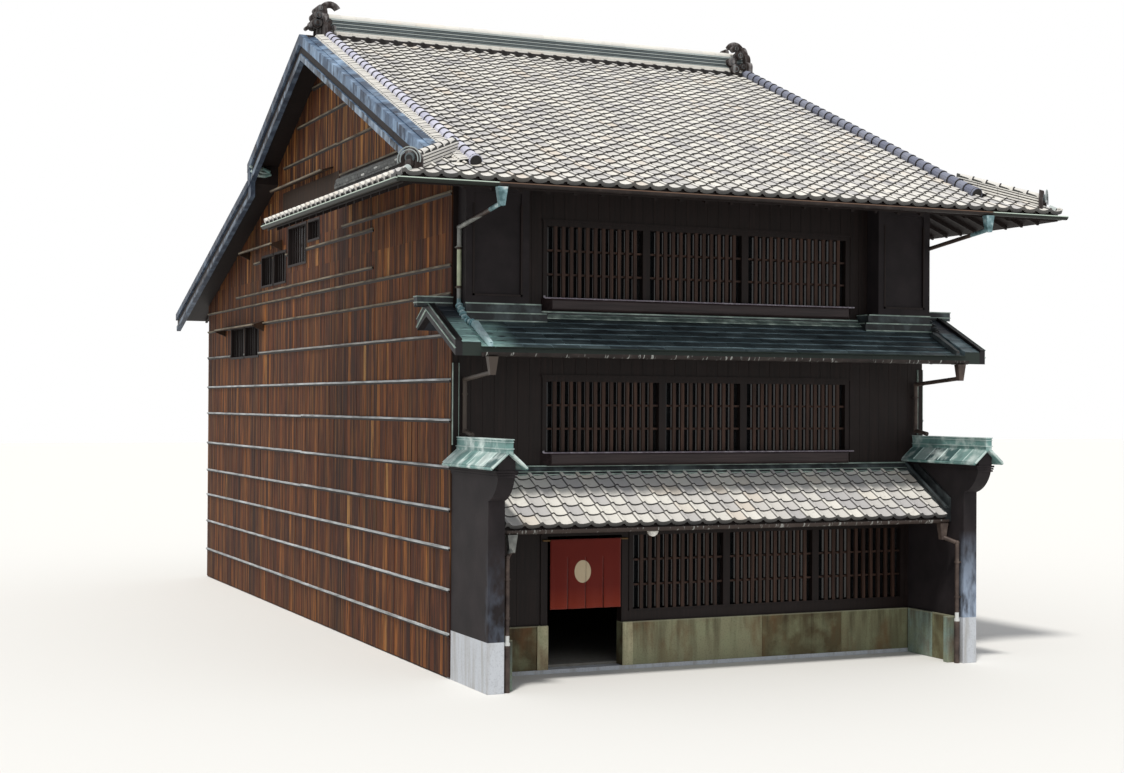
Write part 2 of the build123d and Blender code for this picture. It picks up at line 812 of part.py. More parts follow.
def rail(top):
    """Rounded rail under a lattice window, with ends that taper to the wall."""
    with BuildPart() as bar:
        with BuildSketch(Plane.XY.offset(top - rail_height)):
            with BuildLine():
                Polyline((-rail_half, 0), (-rail_half + rail_taper, -rail_reach), (rail_half - rail_taper, -rail_reach),
                         (rail_half, 0), close=True)
            make_face()
        extrude(amount=rail_height)
        fillet(bar.faces().sort_by(Axis.Y)[0].edges().filter_by(Axis.X), rail_round)
    return bar.part


save("rail_second", rail(second_window[0]))
save("rail_third", rail(third_window[0]))


def lattice(window):
    """Upright bars on two laths for each bay of a lattice window."""
    sill_z, head_z = window[0], window[1]
    panels = []
    for left, right in bays(window):
        count = round((right - left) / bar_pitch) - 1
        pitch = (right - left) / (count + 1)
        with BuildPart() as panel:
            for third in (1, 2):
                lath_z = sill_z + (head_z - sill_z) * third / 3
                add(block(left, right, bar_depth - bar_proud, bar_depth - bar_proud + lath_depth,
                          lath_z - lath_height / 2, lath_z + lath_height / 2))
            for number in range(count):
                middle = left + (number + 1) * pitch
                add(block(middle - bar_width / 2, middle + bar_width / 2, -bar_proud, bar_depth - bar_proud,
                          sill_z, head_z))
        panels.append(panel.part)
    return panels


save("lattice_ground", together("lattice_ground", lattice(ground_window)))
save("lattice_second", together("lattice_second", lattice(second_window)))
save("lattice_third", together("lattice_third", lattice(third_window)))

# Frames around the lattice windows and the entrance
def window_frame(window):
    sill_z, head_z, left, right, posts = window
    with BuildPart() as frame:
        add(block(left - frame_face, right + frame_face, -frame_thick, 0, sill_z, head_z + frame_face))
        for bay_left, bay_right in bays(window):
            add(block(bay_left, bay_right, -frame_thick, 0, sill_z, head_z), mode=Mode.SUBTRACT)
    return frame.part


save("window_frames", together("window_frames", [
    window_frame(window) for window in (ground_window, second_window, third_window)]))
with BuildPart() as door_frame:
    add(block(door_left - frame_width, door_right + frame_width, -frame_proud, 0, dado_top,
              door_head + frame_width))
    add(block(door_left, door_right, -frame_proud, 0, dado_top, door_head), mode=Mode.SUBTRACT)
save("door_frame", door_frame.part)

# Glass behind the lattices and in the side and rear windows
save("front_glass", together("front_glass", [
    block(left, right, glass_back, glass_back + glass_thick, window[0], window[1])
    for window in (ground_window, second_window, third_window) for left, right in bays(window)]))


def side_pane(side, window):
    near, far, sill_z, head_z = window
    middle = side * (half - wall / 2)
    return block(middle - glass_thick / 2, middle + glass_thick / 2, near, far, sill_z, head_z)


panes = [side_pane(side, window) for side in (-1, 1) for window in side_windows]
panes += [block(left, right, house_depth - wall / 2, house_depth - wall / 2 + glass_thick, sill_z, head_z)
          for left, right, sill_z, head_z in rear_windows]
save("side_glass", together("side_glass", panes))


def end_panel(side):
    """Framed plaster panel that stands in front of the third storey's wall."""
    low, high = sorted((side * panel_inner, side * panel_outer))
    with BuildPart() as panel:
        add(prism_x([(-panel_reach, panel_foot), (0, panel_foot), (0, front_top(0) - roof_thick),
                     (-panel_reach, front_top(-panel_reach) - roof_thick)], low, high))
        add(block(low + panel_frame, high - panel_frame, -panel_reach, -panel_reach + panel_recess,
                  panel_foot + panel_frame, front_top(-panel_reach) - roof_thick - 4 * panel_frame), mode=Mode.SUBTRACT)
    return panel.part


def panel_base(side):
    """Plinth between the copper roof and an end panel, in two steps on its front and its inner end."""
    outer = side * panel_outer
    middle = (copper_surface(-base_reach) + panel_foot) / 2
    step_back = (middle - copper_top) / copper_pitch
    with BuildPart() as base:
        add(prism_x([(-base_reach, copper_surface(-base_reach)), (step_back, middle), (-base_reach, middle)],
                    *sorted((side * base_inner, outer))))
        add(prism_x([(-base_reach + base_step, middle), (step_back, middle), (0, copper_top), (0, panel_foot),
                     (-base_reach + base_step, panel_foot)],
                    *sorted((side * (base_inner + 2 * base_step), outer))))
    return base.part


save("end_panels", together("end_panels", [end_panel(-1), end_panel(1)]))
save("panel_bases", together("panel_bases", [panel_base(-1), panel_base(1)]))


def gutter_x(y_back, z_top, x_from, x_to):
    """Half-round gutter along X, its back edge against the eave at y_back."""
    with BuildPart() as trough:
        with BuildSketch(Plane.YZ.offset(x_from)):
            with Locations((y_back - gutter_radius, z_top)):
                Circle(gutter_radius)
                Circle(gutter_radius - gutter_wall, mode=Mode.SUBTRACT)
            with Locations((y_back - gutter_radius, z_top + gutter_radius)):
                Rectangle(2.2 * gutter_radius, 2 * gutter_radius, mode=Mode.SUBTRACT)
        extrude(amount=x_to - x_from)
    return trough.part


def gutter_y(side, x_back, z_top, y_from, y_to):
    """Half-round gutter along Y, its back edge against the eave at x_back."""
    with BuildPart() as trough:
        with BuildSketch(Plane.XZ.offset(-y_from)):
            with Locations((side * (x_back + gutter_radius), z_top)):
                Circle(gutter_radius)
                Circle(gutter_radius - gutter_wall, mode=Mode.SUBTRACT)
            with Locations((side * (x_back + gutter_radius), z_top + gutter_radius)):
                Rectangle(2.2 * gutter_radius, 2 * gutter_radius, mode=Mode.SUBTRACT)
        extrude(amount=y_from - y_to)
    return trough.part


main_gutter_z = front_top(-front_overhang) - gutter_drop
copper_gutter_z = copper_surface(-copper_reach) - gutter_drop
pent_gutter_z = pent_surface(-pent_reach) - gutter_drop
save("main_gutters", together("main_gutters", [
    gutter_x(-front_overhang, main_gutter_z, -eave_half - 2 * gutter_radius, eave_half + 2 * gutter_radius),
    gutter_y(-1, eave_half, main_gutter_z, -front_overhang + 0.5, side_roof_end),
    gutter_y(1, eave_half, main_gutter_z, -front_overhang + 0.5, side_roof_end)]))
save("copper_gutter", gutter_x(-copper_reach, copper_gutter_z, -half, half))
save("pent_gutter", gutter_x(-pent_reach, pent_gutter_z, -pent_half, pent_half))


def pipe(points, radius):
    """Round pipe through a row of points, with a thicker ball at each bend."""
    with BuildPart() as run:
        for start, end in zip(points, points[1:]):
            along = Vector(*end) - Vector(*start)
            with BuildSketch(Plane(origin=start, z_dir=along)):
                Circle(radius)
            extrude(amount=along.length)
        for point in points[1:-1]:
            with Locations(point):
                Sphere(radius + pipe_bend)
    return run.part


def hopper(x, y, top):
    """Tapered rainwater head under a gutter."""
    with BuildPart() as head:
        with BuildSketch(Plane.XY.offset(top)):
            with Locations((x, y)):
                Rectangle(hopper_width, hopper_depth)
        with BuildSketch(Plane.XY.offset(top - hopper_height)):
            with Locations((x, y)):
                Rectangle(hopper_foot, hopper_foot)
        loft()
    return head.part


def clip(x, y, z, to_x, to_y):
    """Ring around an upright pipe, with a bar to the wall."""
    rim = clip_height / 2
    with BuildPart() as ring:
        with BuildSketch(Plane.XY.offset(z)):
            with Locations((x, y)):
                Circle(clip_radius)
        extrude(amount=clip_height)
        add(block(min(x - rim, to_x), max(x + rim, to_x), min(y - rim, to_y), max(y + rim, to_y), z, z + clip_height))
    return ring.part


def fused(solids):
    with BuildPart() as whole:
        for solid in solids:
            add(solid)
    return whole.part


def roof_pipes(side):
    """Main downpipe, from the eave to the copper roof, and the pipe that runs on down that roof."""
    outlet_x = side * (half - main_outlet)
    outlet_y = -front_overhang - gutter_radius
    head_z = main_gutter_z - gutter_radius
    pipe_x = side * (half - main_pipe_in)
    roof_x = side * (half - roof_pipe_in)
    lie = (pipe_radius + pipe_bend) * sqrt(1 + copper_pitch ** 2)
    bend_y = -base_reach - 2 * pipe_radius
    main = [hopper(outlet_x, outlet_y, head_z),
            pipe([(outlet_x, outlet_y, head_z - hopper_hold), (pipe_x, -main_pipe_off, third_floor + main_arm_end),
                  (pipe_x, -main_pipe_off, copper_top + pipe_radius), (pipe_x, bend_y, copper_surface(bend_y) + lie),
                  (roof_x, -roof_pipe_start, copper_surface(-roof_pipe_start) + lie),
                  (roof_x, -copper_reach, copper_surface(-copper_reach) + lie)], pipe_radius)]
    for level in main_clips:
        main.append(clip(pipe_x, -main_pipe_off, third_floor + level, pipe_x, 0))
    return fused(main)


def wall_pipe(side):
    """Downpipe of the copper roof's gutter, back to the wall and down to the wing's cap."""
    head_y = -copper_reach - gutter_radius
    head_z = copper_gutter_z - gutter_radius
    head_x = side * (half - roof_pipe_in)
    pipe_x = side * (half - copper_pipe_in)
    foot_z = cap_ridge + cap_box_height + copper_pipe_foot
    parts = [hopper(head_x, head_y, head_z),
             pipe([(head_x, head_y, head_z - hopper_hold), (pipe_x, -copper_pipe_off, head_z - 1.2 * hopper_height),
                   (pipe_x, -copper_pipe_off, foot_z), (pipe_x, -5 * copper_pipe_off, foot_z - copper_pipe_foot / 2)],
                  pipe_radius),
             clip(pipe_x, -copper_pipe_off, (foot_z + head_z) / 2, pipe_x, 0)]
    return fused(parts)


def ground_pipe(side):
    """Downpipe of the tiled pent roof's gutter, into a wider pipe at the foot of the wing wall."""
    head_x = side * (pent_half - pent_outlet)
    head_y = -pent_reach - gutter_radius
    head_z = pent_gutter_z - gutter_radius
    pipe_x = side * (wing_inner - ground_pipe_in)
    parts = [hopper(head_x, head_y, head_z),
             pipe([(head_x, head_y, head_z - hopper_hold), (pipe_x, -ground_pipe_y, ground_pipe_top),
                   (pipe_x, -ground_pipe_y, ground_pipe_foot / 2)], pipe_radius),
             pipe([(pipe_x, -ground_pipe_y, ground_pipe_foot), (pipe_x, -ground_pipe_y, 0)], ground_pipe_radius)]
    for level in ground_clips:
        parts.append(clip(pipe_x, -ground_pipe_y, level, side * wing_inner, -ground_pipe_y))
    return fused(parts)


left_pipes = [roof_pipes(-1), wall_pipe(-1), ground_pipe(-1)]
save("downpipes", together("downpipes", left_pipes + [mirror(run, about=Plane.YZ) for run in left_pipes]))

# Hoods over the side windows, and the closed panel under the gable hood
pieces = []
gable_hood = max(height for near, far, height in hoods)
for side in (-1, 1):
    for near, far, height in hoods:
        outer = side * (half + hood_reach)
        with BuildPart() as hood:
            add(prism_y([(side * half, height), (outer, height - hood_drop), (outer, height - hood_drop - hood_thick),
                         (side * half, height - hood_thick)], near, far))
            if height != gable_hood:
                for start in (near, far - hood_cheek):
                    add(prism_y([(side * half, height - hood_thick), (outer, height - hood_drop - hood_thick),
                                 (side * half, height - hood_thick - hood_cheek_depth)], start, start + hood_cheek))
        pieces.append(hood.part)
save("window_hoods", together("window_hoods", pieces))
save("gable_panels", together("gable_panels", [
    block(*sorted((side * half, side * (half + gable_panel_thick))), gable_panel_near, gable_panel_far,
          gable_panel_low, gable_panel_high) for side in (-1, 1)]))

# Cloth across the entrance and the rod that carries it
save("noren", block(noren_left, noren_right, -noren_gap - noren_thick, -noren_gap, noren_top - noren_drop, noren_top))
rod_z = noren_top + rod_radius
rod_y = -noren_gap - noren_thick / 2
with BuildPart() as rod:
    with BuildSketch(Plane.YZ.offset(door_left - rod_overhang)):
        with Locations((rod_y, rod_z)):
            Circle(rod_radius)
    extrude(amount=door_right - door_left + 2 * rod_overhang)
    for end in (door_left - rod_overhang, door_right + rod_overhang - rod_bracket):
        add(block(end, end + rod_bracket, rod_y, -frame_proud, rod_z - rod_radius, rod_z + rod_radius))
save("noren_rod", rod.part)

# Lamp: a half globe under the tiled pent roof
with BuildPart() as lamp:
    lamp_z = pent_surface(lamp_y) - pent_thick
    with Locations((lamp_x, lamp_y, lamp_z - 0.6 * lamp_radius)):
        Sphere(lamp_radius)
    split(bisect_by=Plane(origin=(lamp_x, lamp_y, lamp_z), x_dir=(1, 0, 0), z_dir=(0, -pent_pitch, 1)),
          keep=Keep.BOTTOM)
save("lamp", lamp.part)
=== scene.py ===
"""Looks of the machiya townhouse, built around its CAD frame."""

import json
from functools import partial
from math import atan, cos, hypot, pi, radians, sin
from random import Random

import bmesh
import bpy
from bpy.props import FloatProperty, FloatVectorProperty, IntProperty, PointerProperty
from mathutils import Matrix, Vector

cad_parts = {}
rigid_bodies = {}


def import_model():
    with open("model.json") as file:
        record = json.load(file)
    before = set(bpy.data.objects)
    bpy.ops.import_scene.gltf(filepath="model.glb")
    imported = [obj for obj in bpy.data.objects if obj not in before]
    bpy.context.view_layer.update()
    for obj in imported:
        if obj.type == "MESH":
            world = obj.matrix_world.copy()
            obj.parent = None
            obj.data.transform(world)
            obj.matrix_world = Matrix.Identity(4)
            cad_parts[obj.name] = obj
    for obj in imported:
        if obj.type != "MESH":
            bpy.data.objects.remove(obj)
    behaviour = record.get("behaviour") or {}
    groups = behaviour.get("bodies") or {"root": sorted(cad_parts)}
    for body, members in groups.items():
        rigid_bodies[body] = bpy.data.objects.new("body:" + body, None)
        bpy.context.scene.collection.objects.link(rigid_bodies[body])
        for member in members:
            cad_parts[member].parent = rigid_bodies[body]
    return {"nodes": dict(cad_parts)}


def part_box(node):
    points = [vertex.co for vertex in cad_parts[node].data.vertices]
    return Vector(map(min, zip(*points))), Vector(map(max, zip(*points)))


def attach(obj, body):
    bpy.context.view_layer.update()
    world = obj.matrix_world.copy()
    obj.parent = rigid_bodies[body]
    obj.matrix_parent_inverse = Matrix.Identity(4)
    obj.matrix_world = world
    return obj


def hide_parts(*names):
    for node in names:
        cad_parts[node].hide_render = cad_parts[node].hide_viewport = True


bl_info = {
    "name": "Machiya townhouse",
    "version": (1, 0, 0),
    "blender": (4, 5, 0),
    "location": "View3D > Sidebar > Machiya",
    "description": "Tiles, boards, copper sheets, cloth and finishes of a machiya townhouse",
    "category": "Object",
}

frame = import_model()
NODES = frame["nodes"]
CAD = {name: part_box(name) for name in NODES}
SIDES = ((-1, "left"), (1, "right"))


# ------------------------------------------------------------------ nodes written as expressions


class Wire:
    """A node's output. Arithmetic on it adds Math nodes."""

    def __init__(self, net, socket):
        self.net, self.socket = net, socket

    def math(self, operation, *values):
        return self.net.node("ShaderNodeMath", {"operation": operation}, dict(enumerate(values)))

    def __add__(self, other):
        return self.math("ADD", self, other)

    def __sub__(self, other):
        return self.math("SUBTRACT", self, other)

    def __rsub__(self, other):
        return self.math("SUBTRACT", other, self)

    def __mul__(self, other):
        return self.math("MULTIPLY", self, other)

    def __truediv__(self, other):
        return self.math("DIVIDE", self, other)

    def __mod__(self, other):
        return self.math("FLOORED_MODULO", self, other)

    def __gt__(self, other):
        return self.math("GREATER_THAN", self, other)

    def __lt__(self, other):
        return self.math("LESS_THAN", self, other)

    __radd__ = __add__
    __rmul__ = __mul__

    def floor(self):
        return self.math("FLOOR", self)

    def abs(self):
        return self.math("ABSOLUTE", self)

    def root(self):
        return self.math("SQRT", self)

    def clamp(self):
        """The value kept from 0 to 1."""
        return self.net.node("ShaderNodeClamp", {}, {0: self})

    def part(self, number):
        """One of x, y and z of a vector."""
        return self.net.node("ShaderNodeSeparateXYZ", {}, {0: self}, out=number)


class Net:
    """A node tree and the one method that adds nodes to it."""

    def __init__(self, tree):
        self.tree = tree

    def node(self, kind, settings=None, values=None, out=0):
        made = self.tree.nodes.new(kind)
        for key, value in (settings or {}).items():
            if key == "stops":
                ramp = made.color_ramp.elements
                while len(ramp) < len(value):
                    ramp.new(0.5)
                for element, (place, colour) in zip(ramp, value):
                    element.position, element.color = place, colour
            else:
                setattr(made, key, value)
        for key, value in (values or {}).items():
            self.feed(made.inputs[key], value)
        return Wire(self, made.outputs[out]) if made.outputs else None

    def feed(self, socket, value):
        if isinstance(value, Wire):
            self.tree.links.new(value.socket, socket)
        else:
            socket.default_value = value


def rgb(colour):
    """A colour from the sRGB numbers that a colour picker shows, 0 to 255. A wire or a linear colour stays as it is."""
    if isinstance(colour, Wire) or len(colour) == 4:
        return colour
    return (*(c / 255 / 12.92 if c <= 10 else ((c / 255 + 0.055) / 1.055) ** 2.4 for c in colour), 1.0)


class Finish(Net):
    """A material, built from expressions on the place in the object. Its colours are given as rgb takes them."""

    def __init__(self, name, **constants):
        self.material = bpy.data.materials.new(name)
        self.material.use_nodes = True
        super().__init__(self.material.node_tree)
        self.shader = self.tree.nodes["Principled BSDF"]
        self.shader.inputs["Specular IOR Level"].default_value = 0.25
        for key, value in constants.items():
            self.shader.inputs[key.replace("_", " ")].default_value = value
        self.place = self.node("ShaderNodeTexCoord", out=3)

    def noise(self, scale, detail=4.0, stretch=(1, 1, 1), seed=0.0, rough=0.55):
        """Smooth noise, about 0 to 1, on the place stretched along each axis."""
        where = self.node("ShaderNodeMapping", {}, {"Vector": self.place, "Scale": stretch,
                                                    "Location": (seed, seed * 0.7, -seed)})
        return self.node("ShaderNodeTexNoise", {}, {"Vector": where, "Scale": scale, "Detail": detail,
                                                    "Roughness": rough})

    def patches(self, scale, low, high, **more):
        """Noise sharpened into patches: 0 under low, 1 over high."""
        return self.between(self.noise(scale, **more), low, high)

    def between(self, value, low, high):
        return self.node("ShaderNodeMapRange", {}, {0: value, 1: low, 2: high})

    def attribute(self, name):
        return self.node("ShaderNodeAttribute", {"attribute_name": name}, out=2)

    def blend(self, amount, first, second):
        """A colour between two colours."""
        return self.node("ShaderNodeMix", {"data_type": "RGBA"}, {0: amount, 6: rgb(first), 7: rgb(second)}, out=2)

    def ramp(self, value, *stops):
        """A colour picked along stops of (place, colour)."""
        return self.node("ShaderNodeValToRGB", {"stops": [(place, rgb(colour)) for place, colour in stops]}, {0: value})

    def bump(self, height, depth, strength=0.6):
        return self.node("ShaderNodeBump", {}, {"Height": height, "Distance": depth, "Strength": strength})

    def done(self, colour, height=None, depth=0.0, **inputs):
        """The material with its colour, the bump of a height where one is given, and its other inputs."""
        if height is not None:
            inputs["Normal"] = self.bump(height, depth)
        for key, value in {"Base Color": rgb(colour), **inputs}.items():
            self.feed(self.shader.inputs[key], value)
        return self.material


# ------------------------------------------------------------------ finishes


def tile_finish(name, low, mid, high, odd):
    """Smoked clay with a slightly different firing on each tile."""
    look = Finish(name, Roughness=0.42)
    fired = look.ramp(look.attribute("tone"), (0.0, low), (0.35, mid), (0.9, high), (1.0, odd))
    worn = look.blend(look.patches(1.3, 0.5, 0.75, seed=3.0) * 0.2, fired, low)
    grime = look.blend(look.patches(9.0, 0.58, 0.8, seed=8.0) * 0.3, worn, (126, 122, 116))
    # Painted shade: faces that the front attribute marks, on the lips' fronts, in the joints and on the ends, go dark.
    shaded = look.blend(look.attribute("front"), grime, (28, 27, 28))
    return look.done(shaded, look.noise(60.0), 0.003, Roughness=look.noise(30.0) * 0.2 + 0.35)


def stone_finish(name, pale, mid, dark, stain):
    """Stone with speckle, streaks that run down, and a tone for each slab."""
    look = Finish(name, Roughness=0.78)
    slab = look.blend(look.attribute("tone") * 0.5, mid, pale)
    speck = look.blend(look.patches(42.0, 0.5, 0.75, detail=2.0) * 0.4, slab, dark)
    run = look.patches(1.0, 0.48, 0.72, stretch=(8, 8, 0.9), seed=7.0)
    return look.done(look.blend(run * 0.65, speck, stain), look.noise(50.0), 0.003)


def grained_finish(name, roughness, scale, stretch, detail, stops, depth=0.0, **constants):
    """Wood or glass that one noise takes from colour to colour, with a grain as deep as is given."""
    look = Finish(name, Roughness=roughness, **constants)
    grain = look.noise(scale, detail=detail, stretch=stretch)
    return look.done(look.ramp(grain, *stops), grain if depth else None, depth)


def copper_finish(name, base, bright, dark, size, stretch=(1, 1, 1), behind_ridge=0.0, roof=False):
    """Copper sheets with patches of patina as large as size, stains and a tone for each sheet. Behind the ridge they
    go darker and browner, as much as is given there, partly a browner sheet and partly painted shade."""
    look = Finish(name, Roughness=0.5, Metallic=0.15)
    pale = tuple((a + b) / 2 for a, b in zip(rgb(base), rgb(bright)))
    sheet = look.ramp(look.attribute("tone"), (0.0, base), (0.3, dark), (0.6, base), (1.0, pale))
    bloom = look.blend(look.patches(size, 0.46, 0.66, detail=7.0, stretch=stretch, seed=1.0) * 0.8, sheet, bright)
    stain = look.blend(look.patches(size * 0.6, 0.5, 0.7, detail=6.0, stretch=stretch, seed=9.0) * 0.75, bloom, dark)
    # Painted shade: the faces that the front attribute marks go dark.
    colour = look.blend(look.attribute("front"), stain, (24, 30, 33))
    # Behind the ridge: darker and browner, partly the sheets' own brown and partly painted shade.
    if behind_ridge:
        colour = look.blend(look.between(look.place.part(1), 6.40, 6.48) * behind_ridge, colour, (38, 32, 36))
    if roof:
        colour = roof_edges(look, colour)
    return look.done(colour, look.noise(14.0), 0.002, Roughness=look.noise(6.0) * 0.3 + 0.35)


def roof_edges(look, sheets):
    """The copper roof's sheets, dark on their ends, at the eave and beside the wall, and brightened at the left with
    painted sunlight.
    """
    x, y = look.place.part(0), look.place.part(1)
    eave = CAD["copper_roof"][0].y
    by_wall = look.between(x.abs(), 4.13, 4.15) * look.between(y, -0.62, -0.45)
    dull = look.blend(by_wall * 0.9, sheets, (40, 42, 50))
    # Painted sunlight: pale patches on the left of the roof.
    sunny = look.between(x, -3.5, -3.9) * look.between(y, -0.35, -0.6) * look.patches(5.0, 0.3, 0.5, stretch=(1, 3, 3))
    lit = look.blend(sunny * look.between(y, eave + 0.002, eave + 0.008) * 0.8, dull, (170, 208, 202))
    face = look.blend(look.between(y, eave + 0.004, eave + 0.001), lit, (40, 48, 44))
    return look.blend(look.between(x.abs(), 4.440, 4.446), face, (30, 28, 30))


def board_finish():
    """Weathered upright boards, streaked along the grain and bleached in pale streaks, more up in the gable, where the
    pale streaks are partly painted sunlight.
    """
    look = Finish("streaked_boards", Roughness=0.8)
    wood = look.ramp(look.attribute("tone"), (0.0, (40, 17, 9)), (0.35, (69, 33, 15)), (0.7, (98, 51, 21)),
                     (0.92, (140, 84, 37)), (1.0, (186, 140, 82)))
    grain = look.noise(1.0, detail=6.0, stretch=(30, 30, 1.6), rough=0.65)
    streaked = look.blend(look.between(grain, 0.42, 0.62) * 0.9, wood, (26, 10, 6))
    # Pale streaks: bleaching all over, stronger up in the gable, where they are partly painted sunlight.
    gable = look.between(look.place.part(2), 7.2, 8.6)
    sun = look.patches(1.0, 0.5, 0.72, stretch=(14, 14, 0.5), seed=5.0) * (0.3 + gable * 0.55)
    return look.done(look.blend(sun, streaked, (192, 134, 70)), grain, 0.006)


def batten_finish():
    """Battens, silvered low on the wall and brown above."""
    look = Finish("silvered_battens", Roughness=0.8)
    grain = look.noise(1.0, detail=5.0, stretch=(20, 2.0, 20))
    silver = look.ramp(grain, (0.3, (118, 120, 120)), (0.7, (200, 204, 206)))
    brown = look.ramp(grain, (0.3, (66, 56, 46)), (0.7, (142, 132, 114)))
    return look.done(look.blend(look.between(look.place.part(2), 4.6, 5.6), silver, brown), grain, 0.004)


def timber_finish():
    """Dark stained timber of the front."""
    look = Finish("stained_timber", Roughness=0.62)
    grain = look.noise(1.0, detail=6.0, stretch=(26, 26, 1.4), rough=0.6)
    dark = look.ramp(grain, (0.3, (17, 10, 9)), (0.62, (28, 18, 16)), (0.9, (45, 31, 27)))
    dusty = look.blend(look.patches(2.1, 0.55, 0.8, seed=4.0) * 0.3, dark, (44, 35, 36))
    return look.done(dusty, grain, 0.004)


def plaster_finish():
    """Black plaster, dull, with bluish wear low on the outer corners."""
    look = Finish("dull_plaster", Roughness=0.75)
    x, y, z = (look.place.part(number) for number in range(3))
    low, front, right = look.between(z, 2.1, 0.9), look.between(y, -1.36, -1.46), look.between(x, 3.8, 3.9)
    wear = look.patches(7.0, 0.42, 0.62, stretch=(1, 1, 0.5), seed=2.0)
    rubbed = look.patches(9.0, 0.3, 0.6, stretch=(1, 1, 0.4), seed=6.0)
    skin = look.ramp(look.noise(2.2, detail=5.0), (0.3, (24, 20, 22)), (0.75, (42, 36, 38)))
    worn = look.blend(wear * low * front * (right * 0.35 + 0.3), skin, (108, 120, 138))
    return look.done(look.blend(rubbed * low * front * right * 0.9, worn, (158, 172, 192)), look.noise(24.0), 0.002)


def dado_finish():
    """Greenish stone slabs, each its own tone, stained brown from the top."""
    look = Finish("dado_slab", Roughness=0.78)
    z = look.place.part(2)
    slab = look.ramp(look.attribute("tone"), (0.0, (84, 74, 52)), (0.4, (104, 98, 72)), (0.75, (130, 130, 102)),
                     (0.9, (184, 178, 146)), (1.0, (132, 150, 140)))
    cloud = look.blend(look.patches(3.0, 0.45, 0.75, detail=5.0, seed=2.0) * 0.7, slab, (146, 152, 120))
    speck = look.blend(look.patches(40.0, 0.5, 0.75, detail=2.0) * 0.35, cloud, (66, 62, 50))
    run = look.patches(1.0, 0.42, 0.66, detail=5.0, stretch=(7, 7, 0.7), seed=7.0)
    stained = look.blend(run * look.between(z, -0.1, 0.7) * 0.8, speck, (54, 40, 26))
    rust = look.patches(1.0, 0.5, 0.7, detail=6.0, stretch=(3, 3, 1.2), seed=11.0) * 0.6
    rusty = look.blend(rust, stained, (104, 66, 36))
    edged = look.blend(look.between(z, 0.700, 0.712) * 0.5, rusty, (150, 150, 128))
    return look.done(edged, look.noise(50.0), 0.003)


def gutter_finish():
    """Brown copper gutters, pale along the main rim and outside the main hoppers, the middle one spotted."""
    look = Finish("gutter_sheet", Roughness=0.5, Metallic=0.1)
    x, z = look.place.part(0), look.place.part(2)
    top = CAD["main_gutters"][1].z
    main, pent = z > 6.0, z < 2.9
    rim, hopper = look.between(z, top - 0.016, top - 0.010), look.between(x.abs(), 4.16, 4.19)
    body = look.ramp(look.noise(5.0, detail=6.0), (0.3, (26, 21, 20)), (0.6, (44, 36, 34)), (0.9, (84, 78, 74)))
    brown = look.blend(main * rim * 0.85, body, (122, 96, 80))
    green = look.blend(main * hopper, brown, (34, 38, 34))
    pale = look.blend(main * hopper * rim, green, (206, 222, 208))
    dusty = look.blend(pent * 0.5, pale, (74, 62, 56))
    dots = look.patches(30.0, 0.62, 0.7, detail=1.0, stretch=(1, 0.2, 0.2), seed=4.0) * (1.0 - main)
    return look.done(look.blend(dots * 0.7, dusty, (168, 170, 166)), look.noise(14.0), 0.002)


def pipe_finish():
    """Rainwater pipes: patches of green, cream and brown, each length between its rings with its own age."""
    look = Finish("pipe_sheet", Roughness=0.5, Metallic=0.1)
    x, y, z = (look.place.part(number) for number in range(3))
    left = x < 0.0

    def length(low, high):
        """The pipes between two heights."""
        return (z > low) * (z < high)

    pipe = look.ramp(look.noise(5.0, detail=6.0), (0.3, (46, 38, 36)), (0.6, (84, 72, 66)), (0.9, (128, 116, 106)))
    teal = look.ramp(look.noise(9.0, detail=6.0), (0.35, (70, 100, 104)), (0.55, (128, 160, 166)),
                     (0.75, (222, 232, 232)))
    cream = look.ramp(look.noise(6.0, stretch=(1, 1, 0.5)), (0.3, (150, 158, 130)), (0.7, (206, 212, 184)))
    grey = look.ramp(look.noise(8.0, detail=5.0), (0.3, (98, 100, 98)), (0.8, (160, 162, 156)))
    heads = (z > 6.72) * (y < -1.4)
    for part, colour in ((length(6.34, 6.72) * left, grey), (length(5.77, 6.34) * left, cream),
                         (length(4.86, 5.60) * left, teal), (heads, teal), (length(0.66, 0.80), (214, 216, 214)),
                         (length(3.5, 4.85) * left, (70, 62, 56)), (length(5.60, 5.77) * left, grey),
                         (length(1.95, 2.32) * left, grey)):
        pipe = look.blend(part * 0.92, pipe, colour)
    for height in (6.34, 5.77):
        pipe = look.blend(((z - height).abs() < 0.02) * left, pipe, (62, 50, 42))
    return look.done(pipe, look.noise(16.0), 0.002)


def cloth_finish():
    """Dyed cotton, with the plain pale round left in the dye, and lighter at its foot with painted sunlight."""
    look = Finish("dyed_cotton", Roughness=0.9, Sheen_Weight=0.2)
    x, z = look.place.part(0), look.place.part(2)
    weave = look.node("ShaderNodeTexWave", {"bands_direction": "X"}, {"Scale": 260.0, "Distortion": 0.5})
    faded = look.blend(look.noise(5.0) * 0.4, (98, 26, 18), (118, 36, 24))
    # Painted sunlight: the cloth is lighter and redder at its foot.
    sunlit_foot = look.blend(look.between(z, 1.30, 1.00) * 0.6, faded, (140, 52, 32))
    across, up = x + 2.05, (z - 1.52) * 0.8
    away = (across * across + up * up).root()
    return look.done(look.blend(look.between(away, 0.139, 0.135) * 0.9, sunlit_foot, (206, 190, 160)), weave, 0.0006)


WOOD = partial(grained_finish, scale=1.0, detail=5.0)
GLASS = partial(grained_finish, stretch=(1, 1, 1), detail=4.0)
